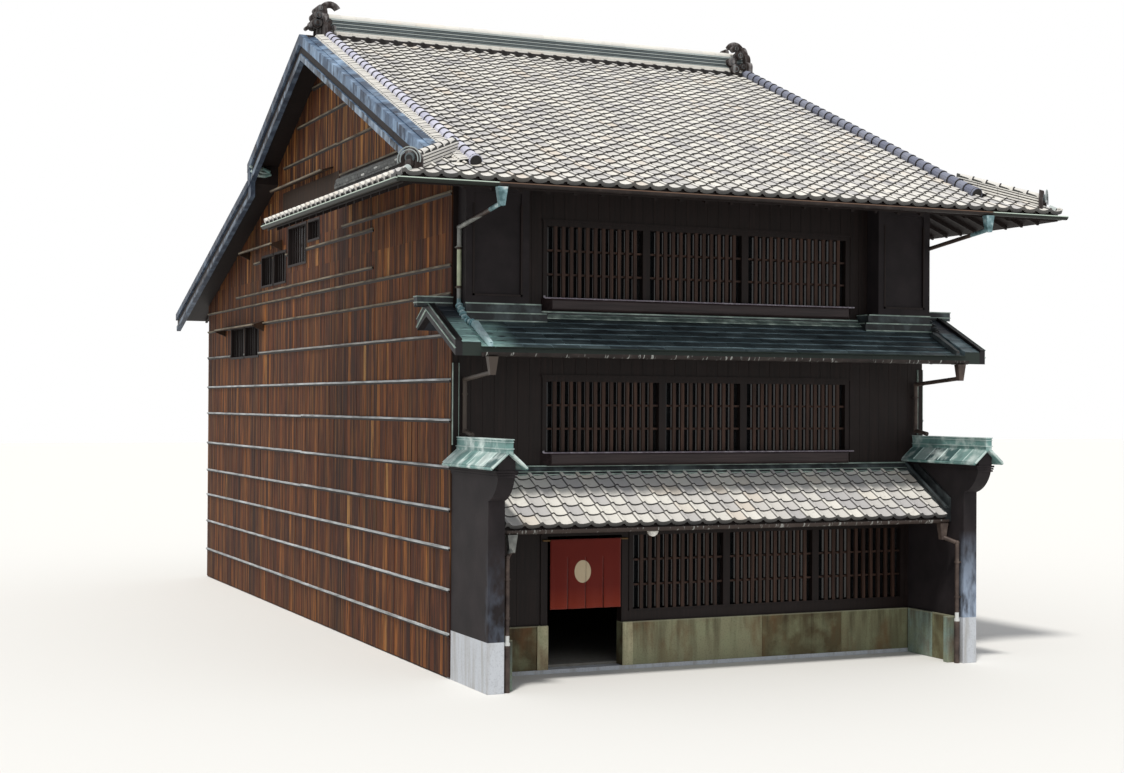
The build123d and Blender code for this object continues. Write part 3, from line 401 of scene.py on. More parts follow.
# What makes each finish, with the name of its material
MAKERS = {
    "roof_tiles": partial(tile_finish, "smoked_clay", (184, 182, 182), (208, 205, 200), (228, 225, 217),
                          (212, 202, 190)),
    "stack_clay": partial(tile_finish, "stack_clay", (30, 31, 30), (48, 50, 48), (84, 87, 84), (214, 214, 208)),
    # Painted shade: the right verge's round tiles take this darker copy of the verge clay.
    "verge_shaded_clay": partial(tile_finish, "verge_shaded_clay", (92, 96, 112), (116, 120, 138), (140, 144, 158),
                            (120, 118, 126)),
    "verge_clay": partial(tile_finish, "verge_clay", (150, 150, 168), (188, 188, 206), (212, 212, 224),
                          (196, 190, 196)),
    "ridge_clay": partial(tile_finish, "ridge_clay", (72, 80, 84), (108, 118, 120), (180, 188, 186), (150, 148, 140)),
    "barge_copper": partial(copper_finish, "barge_sheet", (74, 94, 118), (150, 176, 204), (34, 42, 58), 3.4,
                            (1, 1.5, 0.8), behind_ridge=0.6),
    "barge_worn": partial(copper_finish, "barge_worn", (44, 44, 54), (160, 180, 200), (24, 21, 23), 5.0,
                          (1, 1.6, 0.7), behind_ridge=0.25),
    "patina_copper": partial(copper_finish, "patina_sheet", (94, 113, 120), (158, 182, 188), (52, 62, 70), 2.8,
                             (0.8, 1.8, 1.8), roof=True),
    "cap_copper": partial(copper_finish, "cap_sheet", (112, 148, 144), (222, 234, 230), (54, 78, 80), 4.2),
    "flash_strip": partial(copper_finish, "flash_strip", (112, 130, 124), (176, 192, 182), (58, 66, 66), 5.0),
    "dark_copper": partial(copper_finish, "dark_sheet", (40, 43, 45), (82, 92, 94), (22, 22, 24), 3.0),
    # Pale copper of the left pipe's shoes: patina brightened with painted highlights.
    "lit_shoe_copper": partial(copper_finish, "lit_shoe_sheet", (156, 194, 198), (226, 244, 246), (112, 150, 160), 6.0),
    "ridge_shade": partial(stone_finish, "ridge_shade", (84, 86, 84), (62, 64, 62), (44, 44, 44), (56, 54, 46)),
    "brown_clay": partial(stone_finish, "brown_clay", (66, 56, 52), (46, 38, 36), (28, 23, 22), (176, 172, 172)),
    # Pale tops of the rails: a painted highlight.
    "rail_highlight": partial(stone_finish, "rail_highlight", (150, 142, 152), (120, 112, 122), (80, 74, 82), (186, 180, 190)),
    "deep_shade": partial(stone_finish, "deep_shade", (22, 20, 20), (18, 17, 17), (14, 13, 13), (26, 24, 24)),
    "joint_shade": partial(stone_finish, "joint_shade", (60, 58, 58), (48, 46, 46), (34, 32, 32), (40, 38, 38)),
    "granite": partial(stone_finish, "flamed_granite", (216, 218, 222), (196, 200, 206), (140, 142, 148),
                       (156, 152, 146)),
    "ground_stone": partial(stone_finish, "slab_stone", (150, 148, 142), (128, 126, 120), (96, 94, 90), (108, 100, 90)),
    "shaded_boards": partial(WOOD, "shaded_boards", 0.75, stretch=(20, 20, 1.0), depth=0.003,
                             stops=((0.3, (28, 16, 8)), (0.6, (50, 31, 15)), (0.9, (88, 58, 28)))),
    "lattice_timber": partial(WOOD, "lattice_bars", 0.6, stretch=(22, 22, 1.2), depth=0.003,
                              stops=((0.3, (36, 23, 18)), (0.6, (62, 42, 33)), (0.9, (96, 70, 56)))),
    "rail_timber": partial(WOOD, "rubbed_rail", 0.38, stretch=(1.2, 24, 24), depth=0.002,
                           stops=((0.3, (32, 24, 25)), (0.8, (62, 50, 50)))),
    "floor_boards": partial(WOOD, "oiled_boards", 0.5, stretch=(24, 1.2, 24), depth=0.002,
                            stops=((0.3, (84, 58, 38)), (0.8, (124, 90, 60)))),
    "bamboo": partial(WOOD, "smoked_bamboo", 0.45, stretch=(1.2, 30, 30), detail=4.0,
                      stops=((0.3, (84, 62, 34)), (0.8, (128, 100, 60)))),
    "window_glass": partial(GLASS, "dark_glass", 0.08, scale=0.9, Coat_Weight=0.5,
                            stops=((0.3, (13, 14, 16)), (0.8, (34, 36, 38)))),
    "lamp_glass": partial(GLASS, "opal_glass", 0.25, scale=6.0,
                          stops=((0.3, (232, 230, 222)), (0.8, (246, 244, 238)))),
    "weathered_boards": board_finish,
    "grey_battens": batten_finish,
    "front_timber": timber_finish,
    "gutter_copper": gutter_finish,
    "pipe_copper": pipe_finish,
    "black_plaster": plaster_finish,
    "dado_stone": dado_finish,
    "red_cloth": cloth_finish,
}
MADE = {}


def finish_for(name):
    """The material of that finish, made when it is first asked for."""
    if name not in MADE:
        MADE[name] = MAKERS[name]()
    return MADE[name]


# ------------------------------------------------------------------ shapes


class Heap:
    """Closed solids gathered into one mesh. Each has a tone from 0 to 1 for its material."""

    def __init__(self, seed=1):
        self.points, self.faces, self.tones, self.random = [], [], [], Random(seed)

    def solid(self, points, faces, tone=None):
        start = len(self.points)
        self.points += [tuple(p) for p in points]
        self.faces += [tuple(start + i for i in face) for face in faces]
        self.tones += [self.random.random() if tone is None else tone] * len(points)

    def bridged(self, near, far, tone=None):
        """Solid between two outlines with the same number of points."""
        count = len(near)
        sides = [(i, (i + 1) % count, count + (i + 1) % count, count + i) for i in range(count)]
        self.solid([*near, *far], [tuple(range(count))[::-1], tuple(range(count, 2 * count)), *sides], tone)

    def prism(self, outline, shift, tone=None):
        """Solid swept from a flat outline along a shift."""
        self.bridged(outline, [Vector(p) + Vector(shift) for p in outline], tone)

    def strip(self, x1, x2, outline, tone=None):
        """Solid along x between two places, in either order, with an outline of (y, z) points."""
        x1, x2 = sorted((x1, x2))
        self.prism([(x1, y, z) for y, z in outline], (x2 - x1, 0, 0), tone)

    def box(self, corner, other, tone=None):
        """Upright block between two opposite corners, in either order."""
        (x1, x2), (y1, y2), (z1, z2) = (sorted(pair) for pair in zip(corner, other))
        self.prism([(x1, y1, z1), (x2, y1, z1), (x2, y2, z1), (x1, y2, z1)], (0, 0, z2 - z1), tone)

    def rod(self, start, end, radius, sides=10, tone=None, end_radius=None):
        """Round bar between two points, thinner or thicker at its end where that is given."""
        start, end = Vector(start), Vector(end)
        turn = (end - start).to_track_quat("Z", "Y")
        angles = [2 * pi * i / sides for i in range(sides)]
        self.bridged(*([centre + turn @ Vector((r * cos(a), r * sin(a), 0)) for a in angles]
                       for centre, r in ((start, radius), (end, end_radius or radius))), tone)

    def mesh(self, name):
        mesh = bpy.data.meshes.new(name)
        mesh.from_pydata(self.points, [], self.faces)
        mesh.attributes.new("tone", "FLOAT", "POINT").data.foreach_set("value", self.tones)
        return with_bmesh(mesh)

    def piece(self, name, finish, slot=None, smooth=False):
        """The heap as a finished piece of the house."""
        return piece(name, self.mesh(name), finish, slot, smooth)


def with_bmesh(mesh, *steps):
    """A mesh after steps on its BMesh, with its normals pointing outwards."""
    work = bmesh.new()
    work.from_mesh(mesh)
    for step in steps:
        step(work)
    bmesh.ops.recalc_face_normals(work, faces=work.faces)
    work.to_mesh(mesh)
    work.free()
    return mesh


def piece(name, mesh, finish, slot=None, smooth=False):
    """A mesh as an object that rides on the house, with the finish's material. Its slot is not used."""
    thing = bpy.data.objects.new(name, mesh)
    bpy.context.scene.collection.objects.link(thing)
    mesh.materials.clear()
    mesh.materials.append(finish_for(finish))
    mesh.polygons.foreach_set("use_smooth", [smooth] * len(mesh.polygons))
    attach(thing, "root")
    slot or finish
    return thing


# Painted shade: how dark a shape is in its joints, on a front without a lip, and on its ends
JOINT_SHADE, EDGE_SHADE, END_SHADE = 0.8, 0.92, 0.7


def profile_shape(name, top, length, thick, lip=0.0):
    """Tile or sheet with a top profile of (x, z) points, laid along y, with a lip that hangs from its front.

    Its front attribute is the painted shade on the faces that look to the front or stand in a joint, and on its ends.
    The sweeps list the pairs of corners that a face runs between, in the order of the faces.
    """
    if lip:
        corners = ((0, 0), (length, 0), (length, -thick), (0, -thick - lip), (thick, -thick - lip), (thick, -thick))
        sweeps, outline = (((0, 1), (1, 2)), ((3, 0), (4, 3), (5, 4), (2, 5))), (0, 1, 2, 5, 4, 3)
    else:
        corners = ((0, 0), (0, -thick), (length, 0), (length, -thick))
        sweeps, outline = (((0, 2), (3, 1), (2, 3), (1, 0)),), (0, 1, 3, 2)
    count = len(top)
    points = [(x, y, z + drop) for y, drop in corners for x, z in top]
    strips = [(p, q, i) for sweep in sweeps for i in range(count - 1) for p, q in sweep]
    faces = [(p * count + i, p * count + i + 1, q * count + i + 1, q * count + i) for p, q, i in strips]
    faces += [tuple(c * count for c in (0, *outline[:0:-1])), tuple((c + 1) * count - 1 for c in outline)]
    shade = JOINT_SHADE if lip else EDGE_SHADE
    fronts = [shade if corners[p][0] == corners[q][0] == 0 else 0.0 for p, q, _ in strips]
    fronts[0] = JOINT_SHADE
    mesh = bpy.data.meshes.new(name)
    mesh.from_pydata(points, [], faces)
    mesh.attributes.new("front", "FLOAT", "FACE").data.foreach_set("value", fronts + [END_SHADE] * 2)
    return with_bmesh(mesh)


def joined(name, meshes, cuts=()):
    """One mesh from several, cut along planes given as (point, normal) and closed at the cuts."""
    work = bmesh.new()
    for mesh in meshes:
        work.from_mesh(mesh)
        bpy.data.meshes.remove(mesh)
    for point, normal in cuts:
        everything = work.verts[:] + work.edges[:] + work.faces[:]
        bmesh.ops.bisect_plane(work, geom=everything, plane_co=point, plane_no=normal, clear_outer=True)
        rims = [edge for edge in work.edges if len(edge.link_faces) == 1]
        bmesh.ops.holes_fill(work, edges=rims, sides=0)
    bmesh.ops.recalc_face_normals(work, faces=work.faces)
    mesh = bpy.data.meshes.new(name)
    work.to_mesh(mesh)
    work.free()
    return mesh


# ------------------------------------------------------------------ rows of one shape


def rows_tree():
    """Geometry Nodes tree that lays copies of one shape in columns and rows, then turns the whole field."""
    tree = bpy.data.node_groups.new("rows_of_one_shape", "GeometryNodeTree")
    net = Net(tree)
    named = (("Shape", "Object"), ("Columns", "Int"), ("Rows", "Int"), ("Step Across", "Float"), ("Step Up", "Float"),
             ("Stagger", "Float"), ("Lean", "Float"), ("Uneven", "Float"), ("Seed", "Int"), ("Corner", "Vector"),
             ("Turn", "Vector"), ("Finish", "Material"))
    for name, kind in named:
        tree.interface.new_socket(name=name, in_out="INPUT", socket_type="NodeSocket" + kind)
    tree.interface.new_socket(name="Geometry", in_out="OUTPUT", socket_type="NodeSocketGeometry")
    source = tree.nodes.new("NodeGroupInput")
    given = {socket.name: Wire(net, socket) for socket in source.outputs if socket.name}

    def chance(number, low, high):
        """A random number for each copy."""
        return net.node("FunctionNodeRandomValue", {"data_type": "FLOAT"},
                        {2: low, 3: high, 8: given["Seed"] + number}, out=1)

    def vector(*parts):
        return net.node("ShaderNodeCombineXYZ", {}, dict(enumerate(parts)))

    def turn(angles):
        return net.node("FunctionNodeEulerToRotation", {}, {0: angles})

    index = net.node("GeometryNodeInputIndex")
    column = index % given["Columns"]
    row = (index / given["Columns"]).floor()
    uneven = given["Uneven"]
    place = vector(column * given["Step Across"] + (row % 2) * given["Stagger"], row * given["Step Up"],
                   chance(1, 0.0, 1.0) * uneven)
    points = net.node("GeometryNodePoints", {}, {"Count": given["Columns"] * given["Rows"], "Position": place})
    shape = net.node("GeometryNodeObjectInfo", {}, {"Object": given["Shape"]}, out=4)
    tip = vector(given["Lean"] + chance(2, -2.0, 2.0) * uneven, chance(3, -2.0, 2.0) * uneven,
                 chance(4, -1.5, 1.5) * uneven)
    laid = net.node("GeometryNodeInstanceOnPoints", {}, {"Points": points, "Instance": shape, "Rotation": turn(tip)})
    toned = net.node("GeometryNodeStoreNamedAttribute", {"data_type": "FLOAT", "domain": "INSTANCE"},
                     {"Geometry": laid, "Name": "tone", "Value": chance(5, 0.0, 1.0)})
    real = net.node("GeometryNodeRealizeInstances", {}, {"Geometry": toned})
    moved = net.node("GeometryNodeTransform", {}, {"Geometry": real, "Translation": given["Corner"],
                                                   "Rotation": turn(given["Turn"])})
    dressed = net.node("GeometryNodeSetMaterial", {}, {"Geometry": moved, "Material": given["Finish"]})
    net.feed(tree.nodes.new("NodeGroupOutput").inputs[0], dressed)
    return tree


def rows(name, mesh, finish, **given):
    """Mesh of one shape laid out in rows by the tree. Given are its inputs, with _ for each space in their names."""
    tree = bpy.data.node_groups.get("rows_of_one_shape") or rows_tree()
    collection = bpy.context.scene.collection.objects
    shape = bpy.data.objects.new(name + "_shape", mesh)
    holder = bpy.data.objects.new(name + "_rows", bpy.data.meshes.new(name + "_rows"))
    collection.link(shape)
    collection.link(holder)
    modifier = holder.modifiers.new("rows", "NODES")
    modifier.node_group = tree
    values = {"Shape": shape, "Stagger": 0.0, "Finish": finish_for(finish),
              **{key.replace("_", " "): value for key, value in given.items()}}
    for socket in tree.interface.items_tree:
        if socket.in_out == "INPUT":
            modifier[socket.identifier] = values[socket.name]
    bpy.context.view_layer.update()
    made = bpy.data.meshes.new_from_object(holder.evaluated_get(bpy.context.evaluated_depsgraph_get()))
    made.name = name
    bpy.data.objects.remove(holder)
    bpy.data.objects.remove(shape)
    return made


# ------------------------------------------------------------------ the house's planes, in metres

HALF = -CAD["left_wall"][0].x
VERGE_HALF = CAD["roof_rear"][1].x
EAVE_HALF = CAD["roof_front"][1].x
EAVE_FRONT = CAD["roof_front"][0].y
RIDGE_Y = CAD["roof_rear"][0].y
RIDGE_TOP = CAD["roof_front"][1].z
REAR_END = CAD["roof_rear"][1].y
LOWER_START = CAD["roof_rear_lower"][0].y
REAR_EAVE = CAD["roof_rear_lower"][1].y
SIDE_END = CAD["side_roof_left"][1].y
FRONT_PITCH, REAR_PITCH, LOWER_PITCH, COPPER_PITCH, PENT_PITCH = 0.428, 0.485, 0.338, 0.51, 0.61
LOWER_STEP = 0.356
EAVE_TOP = RIDGE_TOP - FRONT_PITCH * (RIDGE_Y - EAVE_FRONT)
COPPER_TOP, PENT_TOP = 5.46, CAD["tiled_pent_roof"][1].z
PENT_EAVE, PENT_HALF = CAD["tiled_pent_roof"][0].y, CAD["tiled_pent_roof"][1].x


def gable_top(y):
    """Height of the roof's surface at the gable, on the slope that y is on."""
    if y <= RIDGE_Y:
        return RIDGE_TOP - FRONT_PITCH * (RIDGE_Y - y)
    if y <= REAR_END:
        return RIDGE_TOP - REAR_PITCH * (y - RIDGE_Y)
    return RIDGE_TOP - REAR_PITCH * (LOWER_START - RIDGE_Y) - LOWER_STEP - LOWER_PITCH * (y - LOWER_START)


def copper_top(y):
    """Height of the copper roof's surface."""
    return COPPER_TOP + COPPER_PITCH * y


def pent_top(y):
    """Height of the tiled pent roof's surface."""
    return PENT_TOP + PENT_PITCH * y


def shares(start, end, count):
    """A span in equal shares, as pairs of (start, end)."""
    return [(start + (end - start) * number / count, start + (end - start) * (number + 1) / count)
            for number in range(count)]


class Slope:
    """A slope from the lower edge of its covering, with that edge's place across it and height, the slope's pitch,
    and how far it is turned from the front's."""

    def __init__(self, edge, height, pitch, turn=0.0):
        self.edge, self.height, self.pitch, self.turn = edge, height, pitch, turn

    def lay(self, name, shape, finish, along, run, lift, **given):
        """Rows of a shape on the slope. They start that far along its edge and up it, lifted at right angles."""
        level = 1 / hypot(1, self.pitch)
        rise = self.pitch * level
        corner = Vector((along, self.edge + run * level - lift * rise, self.height + run * rise + lift * level))
        return rows(name, shape, finish, Corner=Matrix.Rotation(self.turn, 3, "Z") @ corner,
                    Turn=(atan(self.pitch), 0.0, self.turn), **given)


# ------------------------------------------------------------------ roof tiles

# Top of a pantile from the side, a narrow roll and then a wide shallow trough: (share of the width, height)
PANTILE = ((0.0, 0.012), (0.045, 0.030), (0.143, 0.042), (0.24, 0.030), (0.295, 0.010), (0.434, -0.004),
           (0.623, -0.008), (0.811, -0.002), (1.0, 0.012), (1.035, 0.018))
ROLL = 0.143
OVERHANG = 0.04
# Tiles across the part under the gables, the whole front eave, a side roof and the tiled pent roof
GABLE_COLUMNS, EAVE_COLUMNS, SIDE_COLUMNS, PENT_COLUMNS = 32, 42, 28, 29
# Courses on the front's wide lower part and the side roofs, the part above it, both rear slopes and the pent roof
WIDE_COURSES, UPPER_COURSES, REAR_COURSES, LOWER_COURSES, PENT_COURSES = 6, 32, 18, 32, 6


class TileSizes(bpy.types.PropertyGroup):
    width: FloatProperty(name="Working width", description="Width that each tile shows", default=0.265, unit="LENGTH")
    exposure: FloatProperty(name="Exposure", description="Length that each course shows", default=0.235, unit="LENGTH")
    length: FloatProperty(name="Length", description="Whole length of a tile", default=0.295, unit="LENGTH")
    thick: FloatProperty(name="Thickness", description="Thickness of a tile", default=0.023, unit="LENGTH")
    lip: FloatProperty(name="Lip", description="Drop of the lip on the tiles at an eave", default=0.036, unit="LENGTH")
    lift: FloatProperty(name="Lift", description="Height of the tiles' bed over the roof", default=0.035, unit="LENGTH")
    uneven: FloatProperty(name="Unevenness", description="How far tiles are out of true", default=0.004, unit="LENGTH")
    round_radius: FloatProperty(name="Round tile", description="Radius of the round tiles along a verge", default=0.090,
                                unit="LENGTH")


def eave_slope(edge, height, pitch, turn=0.0):
    """Slope whose tiles hang over the eave."""
    return Slope(edge - OVERHANG, height - OVERHANG * pitch, pitch, turn)


def tile_courses(name, slope, sizes, along, columns, first, count, seed, lip=0.0, width=None):
    """Mesh of a count of courses, from the first, counted up from the eave."""
    width = width or sizes.width
    shape = profile_shape(name, [(x * width, z) for x, z in PANTILE], sizes.length, sizes.thick, lip)
    return slope.lay(name, shape, "roof_tiles", along, first * sizes.exposure, sizes.lift, Columns=columns, Rows=count,
                     Step_Across=width, Step_Up=sizes.exposure, Lean=-atan((sizes.thick + 0.002) / sizes.exposure),
                     Uneven=sizes.uneven, Seed=seed)


def tile_field(name, slope, sizes, along, columns, courses, seed, width=None):
    """Meshes of the eave course, with its lip, and of the courses above it."""
    return [tile_courses(name, slope, sizes, along, columns, 0, 1, seed, sizes.lip, width),
            tile_courses(name, slope, sizes, along, columns, 1, courses - 1, seed + 1, 0.0, width)]


class MACHIYA_OT_roof_tiles(bpy.types.Operator):
    """Courses of pantiles on every tiled slope"""

    bl_idname = "machiya.roof_tiles"
    bl_label = "Roof tiles"

    def execute(self, context):
        sizes = context.scene.machiya_tiles
        width = sizes.width
        middle = -GABLE_COLUMNS / 2 * width
        hips = [((side * EAVE_HALF, EAVE_FRONT, 0), (side, 1.0, 0)) for side in (-1, 1)]
        front = eave_slope(EAVE_FRONT, EAVE_TOP, FRONT_PITCH)
        eave = tile_field("front", front, sizes, -EAVE_COLUMNS / 2 * width, EAVE_COLUMNS, WIDE_COURSES, 11)
        upper = tile_courses("front_upper", front, sizes, middle, GABLE_COLUMNS, WIDE_COURSES, UPPER_COURSES, 23)
        piece("front_tiles", joined("front_tiles", [joined("front_wide", eave, hips), upper]), "roof_tiles")

        def tiled(name, slope, along, columns, courses, seed, cuts=(), own_width=None):
            """Tiles on one slope as a piece."""
            field = tile_field(name, slope, sizes, along, columns, courses, seed, own_width)
            piece(name, joined(name, field, cuts), "roof_tiles")

        rear = eave_slope(-REAR_END, gable_top(REAR_END), REAR_PITCH, pi)
        lower = eave_slope(-REAR_EAVE, gable_top(REAR_EAVE), LOWER_PITCH, pi)
        tiled("rear_tiles", rear, middle, GABLE_COLUMNS, REAR_COURSES, 31)
        tiled("rear_lower_tiles", lower, middle, GABLE_COLUMNS, LOWER_COURSES, 41)
        for (side, word), along, seed in zip(SIDES, (-SIDE_END, SIDE_END - SIDE_COLUMNS * width), (51, 61)):
            tiled("side_tiles_" + word, eave_slope(-EAVE_HALF, EAVE_TOP, FRONT_PITCH, side * pi / 2), along,
                  SIDE_COLUMNS, WIDE_COURSES, seed, [((side * EAVE_HALF, EAVE_FRONT, 0), (-side, -1.0, 0))])

        for side, word in SIDES:
            rolls, hollows = Heap(400 + side), Heap(410 + side)
            x = side * (EAVE_HALF + OVERHANG + 0.012)
            for column in range(27):
                y = SIDE_END - (column + (ROLL if side < 0 else 1 - ROLL)) * width
                if y > EAVE_FRONT + 0.2:
                    # The roll ends take the palest tones, a painted highlight, and the dark rods between them, lower
                    # down, are painted shade.
                    rolls.rod((x, y, EAVE_TOP + 0.004), (x - side * 0.05, y, EAVE_TOP + 0.026), 0.056, 12,
                              rolls.random.uniform(0.8, 1.0))
                    hollows.rod((x, y + width / 2, EAVE_TOP - 0.052),
                                (x - side * 0.05, y + width / 2, EAVE_TOP - 0.030), 0.046, 12)
            rolls.piece("side_eave_ends_" + word, "roof_tiles")
            hollows.piece("side_eave_hollows_" + word, "deep_shade", "roof_tiles")

        pent = eave_slope(PENT_EAVE, pent_top(PENT_EAVE), PENT_PITCH)
        ends = [((side * PENT_HALF, 0, 0), (side, 0, 0)) for side in (-1, 1)]
        tiled("pent_tiles", pent, -PENT_HALF, PENT_COLUMNS, PENT_COURSES, 71, ends, 2 * PENT_HALF / PENT_COLUMNS)
        return {"FINISHED"}


# ------------------------------------------------------------------ verges, ridge and hips

VERGE_X = 4.30
# Sections across a verge, as (distance from the house's middle, height over the roof)
VERGE_BED = ((4.34, 0.034), (4.60, 0.008), (4.60, -0.02), (4.34, -0.01))
VERGE_CAP = ((4.51, 0.046), (4.664, 0.016), (4.664, -0.03), (4.51, -0.01))
# Layers of the ridge: (half width, foot, top, tone)
RIDGE_LAYERS = ((0.262, -0.018, 0.020, 0.9), (0.250, 0.026, 0.060, 0.75), (0.206, 0.072, 0.094, 0.6),
                (0.196, 0.108, 0.128, 0.15), (0.186, 0.142, 0.162, 0.7), (0.176, 0.176, 0.196, 0.15),
                (0.166, 0.210, 0.230, 0.7), (0.158, 0.244, 0.264, 0.2), (0.152, 0.278, 0.312, 0.8))
# Layers of a hip: (half width, foot, top)
HIP_LAYERS = ((0.135, 0.005, 0.033), (0.128, 0.05, 0.076), (0.118, 0.094, 0.118), (0.105, 0.134, 0.15))
# Scrolls at the ridge's ends: (x, y, height, radius)
SCROLLS = ((-4.30, 6.16, 10.90, 0.060), (-4.22, 6.16, 10.80, 0.052), (-4.27, 6.14, 10.71, 0.058),
           (-4.20, 6.14, 10.64, 0.055), (-4.42, 6.30, 11.17, 0.062), (-4.45, 6.30, 11.04, 0.085),
           (-4.48, 6.30, 10.90, 0.090), (-4.60, 6.30, 10.84, 0.035), (4.22, 6.16, 10.80, 0.065),
           (4.15, 6.16, 11.02, 0.080), (4.04, 6.14, 10.74, 0.095), (3.98, 6.16, 10.88, 0.085),
           (4.08, 6.20, 11.16, 0.060), (4.28, 6.16, 10.70, 0.045))
# Tiles stacked against the side walls: (depth, foot and top from the CAD stack's top)
STACK_LAYERS = ((0.185, -0.115, -0.078), (0.18, -0.07, -0.036), (0.165, -0.03, 0.0))
# Branched bars of an ornament below the bargeboard's step: (radius, path of (x, height))
NOSES = ((0.038, ((4.76, 8.78), (4.62, 8.70), (4.50, 8.72), (4.36, 8.66))),
         (0.024, ((4.70, 8.70), (4.54, 8.65), (4.40, 8.62))),
         (0.034, ((4.74, 8.68), (4.62, 8.59), (4.46, 8.58), (4.34, 8.62))))
# Bands of a bargeboard: (top and foot under the roof, distance past it, width of a sheet, finish)
BARGE_BANDS = ((0.004, 0.176, 0.110, 0.186, "barge_copper"), (0.196, 0.340, 0.065, 0.9, "front_timber"),
               (0.356, 0.466, 0.090, 0.372, "barge_worn"))


def slope_runs(step):
    """Places along the gable's three slopes, in steps: (y, height, unit vector down the slope)."""
    runs = []
    for start, end, pitch, sign in ((RIDGE_Y - 0.28, -1.27, FRONT_PITCH, -1),
                                    (RIDGE_Y + 0.28, REAR_END + 0.03, REAR_PITCH, 1),
                                    (LOWER_START + 0.25, REAR_EAVE + 0.03, LOWER_PITCH, 1)):
        level = 1 / hypot(1, pitch)
        count = round(abs(end - start) / (step * level))
        runs += [(y, gable_top(y), Vector((0, sign * level, -pitch * level))) for y, _ in shares(start, end, count)]
    return runs


class MACHIYA_OT_verge_tiles(bpy.types.Operator):
    """Round tiles along the gables' edges, and the short tiles that slope outwards beside them"""

    bl_idname = "machiya.verge_tiles"
    bl_label = "Verge tiles"

    def execute(self, context):
        sizes = context.scene.machiya_tiles
        radius, step = sizes.round_radius, sizes.exposure
        for side, word in SIDES:
            round_tiles, short, rings, gaps, caps = (Heap(seed + side) for seed in (5, 15, 8, 18, 28))
            for y, z, down in slope_runs(step):
                head = Vector((side * VERGE_X, y, z + 0.085))
                tone = 0.25 + 0.5 * round_tiles.random.random()
                foot = head + down * (step - 0.006)
                round_tiles.rod(head - down * 0.03, foot, radius * 0.86, 12, tone, radius * 1.03)
                rings.rod(foot - down * 0.012, foot + down * 0.006, radius * 1.05, 12)
                gaps.prism([(side * x, y, z + up) for x, up in VERGE_BED], down * step)
                if y > -0.2:
                    caps.prism([(side * x, y, z + up) for x, up in VERGE_CAP], down * (step - 0.004),
                               round_tiles.random.random())
            for y, z, down in slope_runs(step / 3):
                lean = round_tiles.random.uniform(-0.004, 0.004)
                inner = Vector((side * 4.36, y, z + 0.080 + lean))
                outer = Vector((side * 4.52, y, z + 0.052 + lean))
                below = down * (step / 6) + Vector((0, 0, -0.008))
                gaps.rod(inner + below, outer + below, 0.022, 6)
                tone = 0.45 + 0.4 * round_tiles.random.random()
                short.rod(inner, outer, 0.021, 6, tone, 0.024)
                short.rod(outer, (side * 4.535, y, z + 0.020), 0.024, 6, tone)
            y, z, down = next(run for run in slope_runs(step)[::-1] if run[2].y < 0)
            disc = Vector((side * VERGE_X, y, z + 0.075)) + down * (step - 0.004)
            round_tiles.rod(disc, disc + down * 0.03, radius * 1.12, 16, 0.5)
            rings.rod(disc, disc + down * 0.035, radius * 0.98, 16)
            # The right verge takes the darker copy of the clay, painted shade.
            round_tiles.piece("verge_tiles_" + word, "verge_clay" if side < 0 else "verge_shaded_clay", "roof_tiles")
            short.piece("verge_edge_tiles_" + word, "roof_tiles")
            rings.piece("verge_joints_" + word, "joint_shade", "roof_tiles")
            gaps.piece("verge_gaps_" + word, "deep_shade", "roof_tiles")
            caps.piece("verge_caps_" + word, "barge_copper")
        return {"FINISHED"}


def ridge_layer(heap, reach, half_width, foot, top, tone, offset):
    """Row of flat tiles along the ridge, with open joints and nearly one tone."""
    x = -reach - offset
    while x < reach - 0.01:
        start, end = max(x, -reach), min(x + 0.297, reach)
        if end - start > 0.02:
            heap.box((start, RIDGE_Y - half_width, RIDGE_TOP + foot), (end, RIDGE_Y + half_width, RIDGE_TOP + top),
                     tone + heap.random.uniform(-0.07, 0.07))
        x += 0.30


class MACHIYA_OT_ridge(bpy.types.Operator):
    """Layers of ridge tiles under their row of round caps, and the dark hollows under them"""

    bl_idname = "machiya.ridge"
    bl_label = "Ridge"

    def execute(self, context):
        sizes = context.scene.machiya_tiles
        reach = CAD["ridge_stack"][1].x
        thick, thin, hollows = Heap(77), Heap(79), Heap(78)
        for number, (half_width, foot, top, tone) in enumerate(RIDGE_LAYERS):
            ridge_layer(thin if number > 1 else thick, reach, half_width, foot, top, tone, 0.15 * (number % 2))
        z = RIDGE_TOP + 0.320
        for x1, x2 in shares(-reach, reach, round(2 * reach / 0.29)):
            thick.rod((x1, RIDGE_Y, z), (x2 - 0.004, RIDGE_Y, z), 0.088, 14, thick.random.uniform(0.6, 0.95), 0.094)
        thick.piece("ridge_tiles", "roof_tiles")
        thin.piece("ridge_layers", "ridge_clay", "roof_tiles")

        half, slopes = 4.24, ((-1, FRONT_PITCH), (1, REAR_PITCH))
        for number in range(int(2 * half / sizes.width) + 1):
            x = -half + (number + 0.56) * sizes.width
            for sign, pitch in slopes:
                y, z = RIDGE_Y + sign * 0.20, RIDGE_TOP - pitch * 0.20 + 0.05
                hollows.rod((x, y, z), (x, y + sign * 0.105, z - 0.045), 0.062, 10, 0.0)
        for sign, pitch in slopes:
            hollows.box((-half, RIDGE_Y + sign * 0.19, RIDGE_TOP - pitch * 0.275 + 0.015),
                        (half, RIDGE_Y + sign * 0.275, RIDGE_TOP - 0.019))
        hollows.piece("ridge_hollows", "joint_shade", "roof_tiles")
        return {"FINISHED"}


